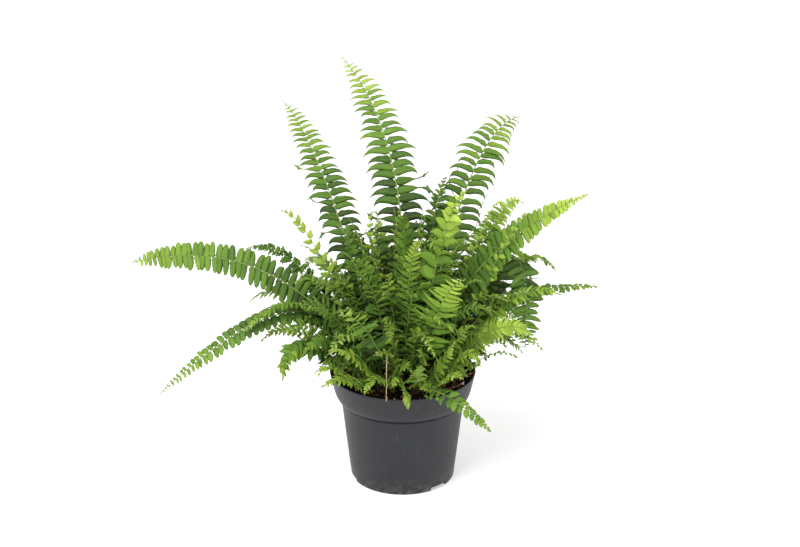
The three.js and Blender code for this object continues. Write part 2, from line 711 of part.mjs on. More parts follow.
addMesh( fern, 'pot', makePot(), MATERIALS.pot );
addMesh( fern, 'soil', makeSoil( ribs ), MATERIALS.soil );
for ( const rib of ribs ) {

	const [ name, kind ] = rib.row;
	addMesh( fern, `frond_${ name }`, growFrond( rib ), MATERIALS[ kind ] );

}

export default fern;
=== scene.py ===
"""A sword fern in a grower's pot, dressed for a pale studio.

The pot, the soil and every frond are made here as fine meshes that stand for the frame's plain
solids. Lengths in the tables are in millimetres, and every object is in metres. +Z is up, +X is
to the right and +Y is away from someone who looks at the plant's front.
"""

import json
import math
import random

import bmesh
import bpy
from bpy.props import FloatProperty, FloatVectorProperty, IntProperty, PointerProperty
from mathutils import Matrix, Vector, noise

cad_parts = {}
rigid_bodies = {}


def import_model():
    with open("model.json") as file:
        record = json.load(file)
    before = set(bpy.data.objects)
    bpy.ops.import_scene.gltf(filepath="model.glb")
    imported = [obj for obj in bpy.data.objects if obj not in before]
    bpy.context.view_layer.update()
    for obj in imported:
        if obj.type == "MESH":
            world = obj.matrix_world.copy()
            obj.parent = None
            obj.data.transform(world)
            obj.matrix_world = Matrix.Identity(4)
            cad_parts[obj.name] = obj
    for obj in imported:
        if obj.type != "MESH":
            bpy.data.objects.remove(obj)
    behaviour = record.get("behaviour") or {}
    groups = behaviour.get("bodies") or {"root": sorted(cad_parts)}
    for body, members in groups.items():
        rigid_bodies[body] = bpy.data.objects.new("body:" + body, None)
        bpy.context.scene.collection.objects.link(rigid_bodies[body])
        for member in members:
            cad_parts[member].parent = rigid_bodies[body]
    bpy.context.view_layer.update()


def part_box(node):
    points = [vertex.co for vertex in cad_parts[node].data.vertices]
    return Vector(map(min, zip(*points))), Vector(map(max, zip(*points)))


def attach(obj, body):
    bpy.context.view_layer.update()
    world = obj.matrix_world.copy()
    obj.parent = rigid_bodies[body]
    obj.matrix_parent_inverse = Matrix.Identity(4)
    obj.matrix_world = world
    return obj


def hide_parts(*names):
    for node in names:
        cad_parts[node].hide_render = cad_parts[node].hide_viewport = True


bl_info = {
    "name": "Potted Fern",
    "version": (1, 0, 0),
    "blender": (4, 5, 0),
    "location": "3D View > Sidebar > Fern",
    "description": "Builds a potted sword fern: pot, soil, fronds and a pale studio stage",
    "category": "Add Mesh",
}

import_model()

MM = 0.001
BODY = "root"
POT_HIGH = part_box("pot")[1]


# Frond tables

# What a frond is grown from: slot is the record's finish, pairs the number of leaflet pairs,
# leaflet the longest one, level how far the leaflets turn level, taper the power and curve by
# which they get shorter, rib the width of the rib at its base, bare the share of the rib without
# leaflets, sweep the leaflets' lean towards the tip in degrees, droop how far they sag, uneven
# how far they stray, fresh how light the green is at the foot and gain how much lighter at the
# tip, wisps the share of leaflets with a thread-like lobed end, and style the leaflets' form. Some
# also have widen, how much wider the leaflets are near the tip, in place of their style's value,
# wisp_lean, how far the lobed ends keep to the right, reroll, which picks another draw, and dead,
# the dry matter that takes the place of the green. PLAIN holds what most kinds don't set.
PLAIN = dict(level=0.0, taper=(2.2, 0.6), wisps=0.0, wisp_lean=0.0, reroll=0, dead=None)
KINDS = {
    "tall": dict(slot="mature_leaf", pairs=30, leaflet=26, level=0.7, taper=(2.3, 0.56), rib=1.9,
                 bare=0.26, sweep=12, droop=0.6, uneven=0.07, fresh=0.06, gain=0.6, wisps=0.26,
                 style="sword"),
    "long": dict(slot="mature_leaf", pairs=34, leaflet=14, taper=(2.6, 0.6), rib=1.7, bare=0.2,
                 sweep=5, droop=0.3, uneven=0.1, fresh=0.3, gain=0.45, style="oblong"),
    "broad": dict(slot="fresh_leaf", pairs=17, leaflet=17.5, level=0.3, taper=(2.2, 0.62), rib=1.7,
                  bare=0.3, sweep=22, droop=0.25, uneven=0.14, fresh=0.42, gain=0.42,
                  style="ovate"),
    "mid": dict(slot="fresh_leaf", pairs=22, leaflet=13.5, taper=(2.2, 0.62), rib=1.4, bare=0.22,
                sweep=20, droop=0.3, uneven=0.2, fresh=0.29, gain=0.6, wisps=0.06,
                style="toothed"),
    "short": dict(slot="new_leaf", pairs=16, leaflet=10, rib=1.2, bare=0.2, sweep=24, droop=0.2,
                  uneven=0.28, fresh=0.5, gain=0.3, wisps=0.08, style="toothed"),
    "young": dict(slot="new_leaf", pairs=11, leaflet=8, taper=(2.0, 0.6), rib=1.0, bare=0.3,
                  sweep=28, droop=0.15, uneven=0.3, fresh=0.62, gain=0.3, style="round"),
}

# Each frond: name, kind, where it stands in the soil (x, y), the middle of its rib, its tip, and
# the way that the upper side of its blade faces.
FRONDS = [
    ("tall_centre", "tall", (0, 14), (-6, 40, 245), (-49, 60, 342), (0, -1, 0)),
    ("tall_left", "tall", (-14, 18), (-63, 50, 239), (-98, 65, 304), (0, -1, 0)),
    ("tall_right", "tall", (14, 20), (54, 55, 237), (95, 50, 295), (0, -1, 0.4)),
    ("left_long", "long", (-28, 6), (-110, 10, 175), (-217, -10, 192), (0, -1, 1.2)),
    ("left_low", "long", (-34, -10), (-85, -30, 158), (-193, -60, 99), (0, -0.6, 1)),
    ("right_long", "broad", (26, -2), (59, -20, 188), (143, -40, 260), (0, -0.7, 1)),
    ("right_edge", "mid", (32, 14), (86, 40, 136), (163, 50, 147), (0, -0.5, 1)),
    ("right_tip", "mid", (22, 8), (70, 20, 208), (98, 20, 230), (0, -0.6, 1)),
    ("face_front", "mid", (8, -20), (28, -60, 172), (48, -80, 205), (-0.6, -1, 0.4)),
    ("face_centre", "broad", (10, -6), (30, -45, 220), (49, -60, 270), (0, -1, 0.3)),
    ("back_upright_right", "mid", (8, 28), (25, 45, 205), (36, 60, 240), (0, -1, 0.3)),
    ("right_bright", "mid", (28, -14), (68, -50, 148), (98, -75, 158), (0, -0.9, 0.8)),
    ("right_toothed", "mid", (34, -4), (82, -25, 162), (125, -40, 176), (0, -0.5, 1)),
    ("right_hanging", "broad", (38, 4), (88, 0, 190), (98, -30, 124), (-0.6, 0.8, -0.6)),
    ("right_arch", "mid", (30, 6), (82, 5, 190), (104, 0, 168), (0, -0.6, 1)),
    ("front_spill", "mid", (14, -34), (34, -75, 105), (68, -95, 84), (0, -0.6, 1)),
    ("left_droop", "mid", (-36, -20), (-78, -50, 136), (-94, -75, 118), (-0.4, -0.6, 1)),
    ("left_back", "mid", (-26, 20), (-85, 45, 166), (-131, 60, 177), (0, -0.6, 1)),
    ("left_inner", "mid", (-16, 6), (-40, 15, 183), (-44, 25, 210), (0, -1, 0.4)),
    ("left_upper", "mid", (-32, 10), (-85, 20, 148), (-126, 25, 144), (0, -0.4, 1)),
    ("left_young", "young", (-22, -4), (-68, -8, 201), (-96, -20, 239), (0, -1, 0.5)),
    ("left_pale", "young", (-38, -2), (-83, -15, 133), (-113, -35, 134), (0, -0.6, 1)),
    ("left_wisp", "young", (-36, -28), (-55, -60, 122), (-66, -70, 120), (0, -0.6, 1)),
    ("face_left", "mid", (-8, -18), (-28, -75, 160), (-48, -110, 188), (0.4, -0.7, -0.5)),
    ("left_rim_upper", "short", (-14, -26), (-37, -68, 134), (-55, -85, 148), (0, -0.6, 1)),
    ("left_rim_lower", "short", (-22, -34), (-44, -75, 118), (-63, -90, 119), (0, -0.6, 1)),
    ("front_left_small", "short", (-6, -30), (-20, -72, 118), (-30, -86, 112), (0, -0.7, 1)),
    ("front_small", "short", (2, -40), (2, -68, 106), (4, -82, 98), (0.3, -0.8, 0.6)),
    ("front_curl", "short", (18, -24), (32, -65, 130), (40, -78, 152), (0, -0.8, 0.7)),
    ("right_rim", "short", (30, -28), (48, -66, 136), (60, -84, 134), (0, -0.7, 1)),
    ("right_curl", "short", (24, -20), (44, -58, 148), (55, -72, 162), (0, -0.8, 0.7)),
    ("wiry_low", "young", (40, -16), (68, -45, 126), (90, -55, 129), (0, -0.6, 1)),
    ("wiry_high", "young", (42, -6), (66, -25, 126), (82, -38, 131), (0, -0.6, 1)),
    ("centre_young", "young", (-6, 2), (-25, -5, 205), (-20, 0, 229), (0, -1, 0.3)),
    ("centre_dark", "mid", (2, -4), (2, -12, 203), (-1, -40, 240), (0, -1, 0.5)),
    ("centre_lacy", "mid", (0, -14), (6, -40, 197), (16, -60, 227), (0, -1, 0.5)),
    ("left_lacy", "mid", (-12, -10), (-24, -30, 181), (-40, -45, 206), (0, -1, 0.5)),
    ("right_young", "young", (18, 2), (61, 10, 204), (77, 15, 233), (0, -1, 0.5)),
    ("right_small", "young", (28, -10), (76, -30, 206), (95, -45, 246), (0, -1, 0.5)),
    ("left_crest", "short", (-24, -14), (-52, -48, 158), (-75, -70, 175), (-0.2, -0.8, 1)),
    ("front_low", "short", (8, -34), (12, -72, 122), (14, -92, 138), (0, -0.6, 1)),
    ("front_right_low", "short", (22, -36), (36, -72, 120), (46, -94, 128), (0, -0.6, 1)),
    ("front_fill", "short", (-3, -22), (-10, -58, 150), (-14, -80, 172), (0, -0.7, 1)),
    ("left_fill", "short", (-29, -22), (-58, -58, 142), (-78, -78, 140), (0, -0.6, 1)),
    ("back_left_low", "mid", (-30, 28), (-65, 80, 155), (-90, 118, 125), (-0.2, 0.5, 1)),
    ("back_left", "mid", (-20, 34), (-38, 90, 170), (-50, 142, 145), (0, 0.5, 1)),
    ("back_centre", "mid", (-2, 36), (2, 90, 175), (8, 138, 160), (0, 0.5, 1)),
    ("back_right", "mid", (18, 34), (38, 88, 165), (58, 140, 142), (0, 0.5, 1)),
    ("back_right_low", "mid", (32, 26), (70, 75, 150), (104, 110, 122), (0.2, 0.5, 1)),
    ("back_rim", "short", (8, 42), (20, 78, 125), (30, 100, 112), (0, 0.5, 1)),
    ("back_rim_left", "short", (-14, 44), (-34, 76, 128), (-48, 96, 114), (0, 0.5, 1)),
    ("back_side_right", "mid", (36, 22), (90, 56, 162), (130, 78, 150), (0.2, 0.2, 1)),
    ("back_side_left", "short", (-36, 16), (-68, 52, 140), (-92, 66, 136), (-0.2, 0.2, 1)),
    ("back_upright_left", "mid", (-6, 22), (-16, 62, 172), (-22, 92, 192), (0, -0.5, 0.8)),
]

# What some fronds have of their own in place of their kind's value.
OWN = {
    "tall_centre": dict(leaflet=30, gain=0.8, wisps=0.34, wisp_lean=0.9, reroll=3),
    "tall_left": dict(pairs=30, leaflet=26, droop=0.75, gain=0.7, wisps=0.45, reroll=2),
    "tall_right": dict(pairs=25, leaflet=33, taper=(3.2, 0.5), droop=1.0, sweep=4, level=0.4,
                       fresh=0.12, gain=0.6, wisps=0.14, style="sickle"),
    "left_long": dict(pairs=35, leaflet=15.5, taper=(3, 0.5), fresh=0.2, gain=0.5, level=-0.5,
                      sweep=-5),
    "left_low": dict(pairs=34, leaflet=11.5, fresh=0.16, gain=0.5, uneven=0.06, widen=-0.4,
                     style="round"),
    "left_back": dict(pairs=26, leaflet=9.5, taper=(3, 0.5), fresh=0.14, gain=0.2,
                      uneven=0.3, style="ruffled"),
    "left_upper": dict(pairs=17, leaflet=13, taper=(3, 0.5), fresh=0.42, gain=0.45),
    "left_inner": dict(pairs=16, leaflet=12, fresh=0.1, gain=0.25, uneven=0.3, style="round"),
    "left_droop": dict(pairs=20, leaflet=12, taper=(4, 0.5), fresh=0.16, gain=0.55, uneven=0.35,
                       style="heart"),
    "left_fill": dict(pairs=18, leaflet=11, fresh=0.14, gain=0.3, style="heart"),
    "left_crest": dict(leaflet=11, fresh=0.16, gain=0.3, style="ovate"),
    "left_lacy": dict(pairs=16, leaflet=12, fresh=0.1, gain=0.3, style="round"),
    "left_rim_upper": dict(pairs=20, leaflet=12, fresh=0.56, gain=0.3, style="ovate"),
    "left_rim_lower": dict(pairs=22, leaflet=10.5, fresh=0.5, gain=0.35, uneven=0.4),
    "left_pale": dict(pairs=15, leaflet=8.5, fresh=0.8, gain=0.3, uneven=0.14, style="oblong"),
    "left_young": dict(pairs=11, leaflet=9.5, taper=(3, 0.5), uneven=0.24, style="heart"),
    "face_left": dict(pairs=13, leaflet=17, fresh=0.08, gain=0.8, uneven=0.3, style="ovate"),
    "face_front": dict(pairs=17, leaflet=25, taper=(2.2, 0.6), level=0.9, fresh=0.3, gain=0.6,
                       uneven=0.14, sweep=-4, droop=0.1, style="curved"),
    "face_centre": dict(pairs=15, leaflet=20.5, fresh=0.3, gain=0.7, droop=0.7, uneven=0.5,
                        style="heart"),
    "centre_dark": dict(pairs=15, leaflet=15, fresh=0.26, gain=0.2, uneven=0.1, sweep=30,
                        style="heart"),
    "back_upright_right": dict(fresh=0.12, gain=0.15, style="oblong"),
    "right_long": dict(pairs=30, leaflet=19, taper=(1.5, 0.75), fresh=0.2, gain=0.75, droop=0.4,
                       level=-0.5, sweep=6, widen=1.3, style="oblong"),
    "right_hanging": dict(pairs=25, leaflet=18.5, taper=(3.2, 0.5), fresh=0.08, gain=0.3,
                          droop=0.1, level=0.2, sweep=8, uneven=0.26, widen=-0.35,
                          style="oblong"),
    "right_edge": dict(pairs=22, leaflet=9.6, taper=(2, 0.5), fresh=0.14, gain=0.45,
                       style="round"),
    "right_tip": dict(pairs=32, leaflet=24, taper=(2, 0.65), fresh=0.12, gain=0.8, droop=0.7,
                      sweep=2, level=0.3, widen=1.4, style="sickle"),
    "right_bright": dict(pairs=30, leaflet=13, taper=(3, 0.5), fresh=0.56, gain=0.3,
                         uneven=0.1, sweep=14, droop=0.1, widen=0.6, style="curved"),
    "right_toothed": dict(pairs=22, fresh=0.36, gain=0.35),
    "back_side_right": dict(taper=(4, 0.5), droop=0.7, widen=0.9),
    "front_spill": dict(pairs=13, leaflet=10, fresh=0.28, gain=0.22, style="round"),
    "wiry_low": dict(pairs=10, leaflet=4.6, fresh=0.4, style="round"),
    "wiry_high": dict(pairs=9, leaflet=4.6, fresh=0.36, style="round"),
}


# Small helpers

def hex_colour(code):
    """An RGBA colour in linear light from a web colour such as "4a7a2a"."""
    values = [int(code[i:i + 2], 16) / 255 for i in (0, 2, 4)]
    return (*((v / 12.92 if v <= 0.04045 else ((v + 0.055) / 1.055) ** 2.4) for v in values), 1)


def new_object(name, mesh):
    """An object for a mesh, linked to the scene, at the origin."""
    made = bpy.data.objects.new(name, mesh)
    bpy.context.scene.collection.objects.link(made)
    return made


def mesh_from(name, points, faces):
    """A smooth mesh from points and faces, with its faces pointing outwards."""
    mesh = bpy.data.meshes.new(name)
    mesh.from_pydata([tuple(p) for p in points], [], faces)
    shell = bmesh.new()
    shell.from_mesh(mesh)
    bmesh.ops.recalc_face_normals(shell, faces=shell.faces)
    shell.to_mesh(mesh)
    shell.free()
    mesh.shade_smooth()
    return mesh


def bake_modifiers(objects):
    """Turn the evaluated objects into plain meshes and take their modifiers off."""
    evaluated = bpy.context.evaluated_depsgraph_get()
    evaluated.update()
    meshes = [
        bpy.data.meshes.new_from_object(made.evaluated_get(evaluated), depsgraph=evaluated)
        for made in objects
    ]
    for made, mesh in zip(objects, meshes):
        made.modifiers.clear()
        made.data = mesh
        mesh.name = made.name
        drop_empty_slots(mesh)


def set_materials(mesh, materials, numbers):
    """Give a mesh these materials. numbers leads from a face's old slot to its new one."""
    places = [0] * len(mesh.polygons)
    mesh.polygons.foreach_get("material_index", places)
    mesh.materials.clear()
    for material in materials:
        mesh.materials.append(material)
    mesh.polygons.foreach_set("material_index", [numbers[place] for place in places])


def drop_empty_slots(mesh):
    """Take out the material slots that hold nothing and keep every face's material."""
    kept = [i for i, material in enumerate(mesh.materials) if material]
    if len(kept) < len(mesh.materials):
        set_materials(mesh, [mesh.materials[i] for i in kept],
                      {old: new for new, old in enumerate(kept)})


def join_objects(name, objects):
    """One object out of several, with each of their materials once."""
    materials = list(dict.fromkeys(m for made in objects for m in made.data.materials))
    whole = bmesh.new()
    for made in objects:
        set_materials(made.data, materials, [materials.index(m) for m in made.data.materials])
        whole.from_mesh(made.data)
    mesh = bpy.data.meshes.new(name)
    for material in materials:
        mesh.materials.append(material)
    whole.to_mesh(mesh)
    whole.free()
    for made in objects:
        bpy.data.meshes.remove(made.data)
    return new_object(name, mesh)


def pattern_group(name, patterns):
    """A collection of patterns for a node tree to copy."""
    group = bpy.data.collections.new(name)
    for pattern in patterns:
        group.objects.link(pattern)
    return group


def remove_patterns(*groups):
    """Take away collections of patterns once their copies are made."""
    for group in groups:
        for pattern in list(group.objects):
            bpy.data.objects.remove(pattern)
        bpy.data.collections.remove(group)


def settle(made, slot, *nodes):
    """Put a finished piece into the frame, in place of the nodes that it stands for."""
    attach(made, BODY)
    if nodes:
        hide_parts(*nodes)


# Node trees

class NodeSheet:
    """Writes down a node tree, node by node."""

    COLUMN = 220
    ROW = 300
    PER_ROW = 12

    def __init__(self, group):
        self.group = group

    def node(self, kind, values=None, **settings):
        """Add a node. A value is a number, a vector, a data block or another node's output."""
        made = self.group.nodes.new(kind)
        row, column = divmod(len(self.group.nodes), self.PER_ROW)
        made.location = (self.COLUMN * column, -self.ROW * row)
        for key, value in settings.items():
            setattr(made, key, value)
        for key, value in (values or {}).items():
            self.fill(self.entry(made, key), value)
        return made

    def out(self, kind, values=None, **settings):
        """Add a node and give its first output that is in use."""
        made = self.node(kind, values, **settings)
        return next(socket for socket in made.outputs if socket.enabled)

    @staticmethod
    def entry(made, key):
        """An input of a node by its place, identifier or name."""
        if isinstance(key, int):
            return made.inputs[key]
        return next(s for s in made.inputs if s.enabled and key in (s.identifier, s.name))

    def fill(self, socket, value):
        """Link a socket, or set it where the value is not another node's output."""
        if isinstance(value, bpy.types.NodeSocket):
            self.group.links.new(value, socket)
        else:
            socket.default_value = value

    def math(self, operation, *values):
        """Maths on numbers."""
        return self.out("ShaderNodeMath", dict(enumerate(values)), operation=operation)

    def plus(self, first, second):
        return self.math("ADD", first, second)

    def minus(self, first, second):
        return self.math("SUBTRACT", first, second)

    def times(self, first, second):
        return self.math("MULTIPLY", first, second)

    def times_plus(self, first, second, third):
        """first times second, and third added."""
        return self.math("MULTIPLY_ADD", first, second, third)

    def power(self, value, exponent):
        return self.math("POWER", value, exponent)

    def vector(self, operation, *values):
        """Vector maths. SCALE takes the vector and then the factor."""
        if operation == "SCALE":
            places = {"Vector": values[0], "Scale": values[1]}
        else:
            places = dict(enumerate(values))
        return self.out("ShaderNodeVectorMath", places, operation=operation)

    def join_axes(self, x, y, z):
        return self.out("ShaderNodeCombineXYZ", {"X": x, "Y": y, "Z": z})

    def split_axes(self, vector):
        return self.node("ShaderNodeSeparateXYZ", {"Vector": vector}).outputs

    def blend(self, factor, first, second):
        """A number between two numbers."""
        values = {"Factor_Float": factor, "A_Float": first, "B_Float": second}
        return self.out("ShaderNodeMix", values, data_type="FLOAT")

    def blend_vectors(self, factor, first, second):
        """A vector between two vectors."""
        values = {"Factor_Float": factor, "A_Vector": first, "B_Vector": second}
        return self.out("ShaderNodeMix", values, data_type="VECTOR")

    def remap(self, value, low, high, to_low=0.0, to_high=1.0):
        """A number taken from one range to another and kept inside it."""
        values = {"Value": value, "From Min": low, "From Max": high,
                  "To Min": to_low, "To Max": to_high}
        return self.out("ShaderNodeMapRange", values)


class GeometrySheet(NodeSheet):
    """A Geometry Nodes tree with named inputs."""

    def __init__(self, name, inputs):
        super().__init__(bpy.data.node_groups.new(name, "GeometryNodeTree"))
        self.group.is_modifier = True
        interface = self.group.interface
        interface.new_socket("Geometry", in_out="INPUT", socket_type="NodeSocketGeometry")
        self.identifiers = {}
        for label, kind in inputs.items():
            made = interface.new_socket(label, in_out="INPUT", socket_type="NodeSocket" + kind)
            self.identifiers[label] = made.identifier
        interface.new_socket("Geometry", in_out="OUTPUT", socket_type="NodeSocketGeometry")
        self.inputs = self.node("NodeGroupInput").outputs

    def random(self, draw, low=-1.0, high=1.0):
        """A number for each point, the same on each run. Each draw differs from the others."""
        seed = self.plus(self.inputs["Seed"], draw)
        values = {"Min": low, "Max": high, "Seed": seed}
        return self.out("FunctionNodeRandomValue", values, data_type="FLOAT")

    def store(self, geometry, name, value):
        """Keep a number on each point, for a material to read."""
        values = {"Geometry": geometry, "Name": name, "Value": value}
        return self.out("GeometryNodeStoreNamedAttribute", values,
                        data_type="FLOAT", domain="POINT")

    def capture(self, geometry, **items):
        """Hold values on the points, so that they can be read once the copies are real."""
        made = self.node("GeometryNodeCaptureAttribute", {"Geometry": geometry})
        for name, value in items.items():
            kind = "VECTOR" if value.type == "VECTOR" else "FLOAT"
            made.capture_items.new(kind, name)
            self.fill(made.inputs[name], value)
        return made.outputs

    def join(self, *geometries):
        made = self.node("GeometryNodeJoinGeometry")
        for geometry in reversed(geometries):
            self.group.links.new(geometry, made.inputs[0])
        return made.outputs[0]

    def paint(self, geometry, material):
        return self.out("GeometryNodeSetMaterial", {"Geometry": geometry, "Material": material})

    def realize(self, geometry):
        return self.out("GeometryNodeRealizeInstances", {"Geometry": geometry})

    def aim(self, along, up):
        """The rotation that turns X along one way and Z towards another."""
        return self.out("FunctionNodeAxesToRotation", {"Primary Axis": along, "Secondary Axis": up},
                        primary_axis="X", secondary_axis="Z")

    def copies(self, points, rotation, size, patterns, pick):
        """Real copies of a collection's patterns on points, each pattern picked by number."""
        patterns = self.out("GeometryNodeCollectionInfo", {
            "Collection": patterns, "Separate Children": True, "Reset Children": True})
        return self.realize(self.out("GeometryNodeInstanceOnPoints", {
            "Points": points, "Instance": patterns, "Pick Instance": True,
            "Instance Index": pick, "Rotation": rotation, "Scale": size}))

    def finish(self, geometry):
        self.node("NodeGroupOutput", {0: geometry})

    def put_on(self, made, values):
        """Add the tree to an object as a modifier and set its inputs by their identifiers."""
        modifier = made.modifiers.new(self.group.name, "NODES")
        modifier.node_group = self.group
        for label, value in values.items():
            modifier[self.identifiers[label]] = value


class FinishSheet(NodeSheet):
    """A material's node tree."""

    def __init__(self, name):
        self.material = bpy.data.materials.new(name)
        self.material.use_nodes = True
        super().__init__(self.material.node_tree)
        self.group.nodes.clear()
        self.place = self.node("ShaderNodeTexCoord").outputs["Object"]

    def attribute(self, name, output="Fac"):
        return self.node("ShaderNodeAttribute", attribute_name=name).outputs[output]

    def noise(self, size, detail=2.0, place=None):
        """Cloudy noise, from 0 to 1, whose clouds are about the given size in metres."""
        values = {"Vector": place or self.place, "Scale": 1 / size, "Detail": detail}
        return self.node("ShaderNodeTexNoise", values).outputs["Fac"]

    def ramp(self, value, *stops):
        """Colours along a range, each stop a place and a web colour."""
        made = self.node("ShaderNodeValToRGB", {"Fac": value})
        marks = made.color_ramp.elements
        while len(marks) < len(stops):
            marks.new(0.5)
        for mark, (place, code) in zip(marks, stops):
            mark.position = place
            mark.color = hex_colour(code)
        return made.outputs["Color"]

    def tint(self, factor, first, second):
        """A colour between two colours, each an output or a web colour."""
        first, second = (hex_colour(c) if isinstance(c, str) else c for c in (first, second))
        values = {"Factor_Float": factor, "A_Color": first, "B_Color": second}
        return self.out("ShaderNodeMix", values, data_type="RGBA")

    def bump(self, height, depth, strength):
        """A relief whose greatest depth is given in metres."""
        values = {"Height": height, "Distance": depth, "Strength": strength}
        return self.node("ShaderNodeBump", values).outputs["Normal"]

    def shader(self, **values):
        """The main shader. Its sockets are named with low bars for spaces."""
        sockets = {key.replace("_", " "): value for key, value in values.items()}
        return self.node("ShaderNodeBsdfPrincipled", sockets).outputs["BSDF"]

    def finish(self, surface):
        self.node("ShaderNodeOutputMaterial", {"Surface": surface})
        return self.material


# Settings

class FernPotSettings(bpy.types.PropertyGroup):
    """Sizes and colour of the pot."""
    height: FloatProperty(
        name="Height", description="From the foot to the lip", default=POT_HIGH.z,
        unit="LENGTH", subtype="DISTANCE")
    rim_radius: FloatProperty(
        name="Rim Radius", description="Outside radius of the lip", default=POT_HIGH.x,
        unit="LENGTH", subtype="DISTANCE")
    wall: FloatProperty(
        name="Wall", description="Thickness of the moulded wall", default=0.0014,
        unit="LENGTH", subtype="DISTANCE")
    sides: IntProperty(
        name="Sides", description="How many flats make up the round wall", default=144)
    colour: FloatVectorProperty(
        name="Colour", description="The plastic's own colour", subtype="COLOR", size=4,
        min=0, max=1, default=hex_colour("0d0f15"))


class FernSoilSettings(bpy.types.PropertyGroup):
    """Sizes of the soil and of what lies on it."""
    level: FloatProperty(
        name="Level", description="Height of the soil, where the stalks come out, above the foot",
        default=0.0875, unit="LENGTH", subtype="DISTANCE")
    roughness: FloatProperty(
        name="Unevenness", description="How far the soil's surface rises and falls",
        default=0.0016, unit="LENGTH", subtype="DISTANCE")
    crumbs: IntProperty(
        name="Crumbs", description="Soil crumbs on each square centimetre", default=14)
    chips: IntProperty(
        name="Bark Chips", description="Bark chips on the whole surface", default=110)
    fibres: IntProperty(
        name="Fibres", description="Dry fibres on the whole surface", default=90)
    seed: IntProperty(name="Seed", description="Another seed gives other soil", default=4)


class FernFoliageSettings(bpy.types.PropertyGroup):
    """What all the fronds share."""
    root_depth: FloatProperty(
        name="Root Depth", description="How deep the stalks stand in the soil",
        default=0.009, unit="LENGTH", subtype="DISTANCE")
    rib_tip: FloatProperty(
        name="Rib at Tip", description="Width of the rib at its tip", default=0.0006,
        unit="LENGTH", subtype="DISTANCE")
    blade: FloatProperty(
        name="Blade", description="Thickness of a leaflet's blade", default=0.00035,
        unit="LENGTH", subtype="DISTANCE")
    scales: IntProperty(
        name="Scales", description="Papery scales at the foot of each stalk", default=16)
    seed: IntProperty(name="Seed", description="Another seed gives other leaflets", default=7)


class FernUndergrowthSettings(bpy.types.PropertyGroup):
    """The crowd of small fronds that fills the crown."""
    count: IntProperty(name="Crown Count", description="Small fronds in the crown", default=84)
    rim_count: IntProperty(name="Rim Count", description="Short fronds round the rim", default=40)
    side_count: IntProperty(
        name="Side Count", description="Small fronds to the left and the right", default=16)
    reach: FloatProperty(
        name="Reach", description="How far out the outermost tips come", default=0.1,
        unit="LENGTH", subtype="DISTANCE")
    stretch: FloatProperty(
        name="Stretch", description="Width of the crowd as a share of its depth", default=1.24)
    crest: FloatProperty(
        name="Crest", description="Height of the innermost tips", default=0.222,
        unit="LENGTH", subtype="DISTANCE")
    skirt: FloatProperty(
        name="Skirt", description="Height of the outermost tips", default=0.132,
        unit="LENGTH", subtype="DISTANCE")
    seed: IntProperty(name="Seed", description="Another seed gives other fronds", default=11)


class FernStageSettings(bpy.types.PropertyGroup):
    """The studio round the plant."""
    floor: FloatVectorProperty(
        name="Floor", description="Colour of the floor", subtype="COLOR", size=4,
        min=0, max=1, default=(0.94, 0.94, 0.94, 1))
    sky: FloatProperty(
        name="Sky", description="Strength of the light from all round", default=0.64)
    floor_glow: FloatProperty(
        name="Floor Glow", description="Light that the floor gives off itself", default=0.3)
    key: FloatProperty(
        name="Key Light", description="Power of the main soft light in watts", default=50,
        unit="POWER")
    fill: FloatProperty(
        name="Fill Light", description="Power of the light from the right in watts", default=14,
        unit="POWER")
    lens: FloatProperty(
        name="Lens", description="Focal length in millimetres", default=90, subtype="NONE")


# Finishes

# A blade's greens, from the darkest to the freshest, each with its place in the range.
LEAF_GREENS = ((0, "152b09"), (0.18, "3c6418"), (0.42, "678e29"), (0.62, "8aab36"),
               (0.82, "aecb4c"), (1, "cbe068"))
WAX_COLOUR = "98a488"
LIGHT_THROUGH_COLOUR = "b9cf3a"

# Paler marks on a blade: how strong each is and its colour.
LEAF_MARKS = {
    "vein": (0.16, "a9c65c"),
    "midrib": (0.12, "b4c772"),
    "edge": (0.18, "b9d45f"),
    "under": (0.35, "8fb46a"),
}
LEAF_CLOUD_SIZE = 0.016
LEAF_TONE_SHARE = 0.12
LEAF_CLOUD_SHARE = 0.3
LEAF_TIP_SHARE = 0.1
VEINS = 13.0
VEIN_SLANT = 3.2

# The rib's colours from its foot to its tip on a grown frond, and by freshness on a young one.
RIB_COLOURS = ((0, "5d4426"), (0.07, "86743d"), (0.2, "b4ae78"), (0.5, "bcba86"),
               (0.66, "8f9850"), (1, "72883a"))
YOUNG_RIB_COLOURS = ((0, "5f7a33"), (0.5, "70883a"), (1, "7d9444"))
RIB_GRAIN = 0.0012
RIB_GRAIN_SHARE = 0.16
SCALE_COLOURS = ((0.3, "54371d"), (0.7, "a5794a"))

# The plastic: its paler clouds, scuffs and dust, how high the dust lies, the groove under the
# collar, where the shine is turned down as painted shade for its shadow line, and how wide that
# band is until it shines again.
PLASTIC_CLOUD = "2e3036"
SCUFF_COLOUR = "5d5d5f"
DUST_COLOUR = "8b8178"
DUST_HEIGHT = 0.016
GROOVE_HEIGHT = 0.0698
GROOVE_SHADE_REACH = (0.0006, 0.0022)
EARTH_TONE_SHARE = 0.32


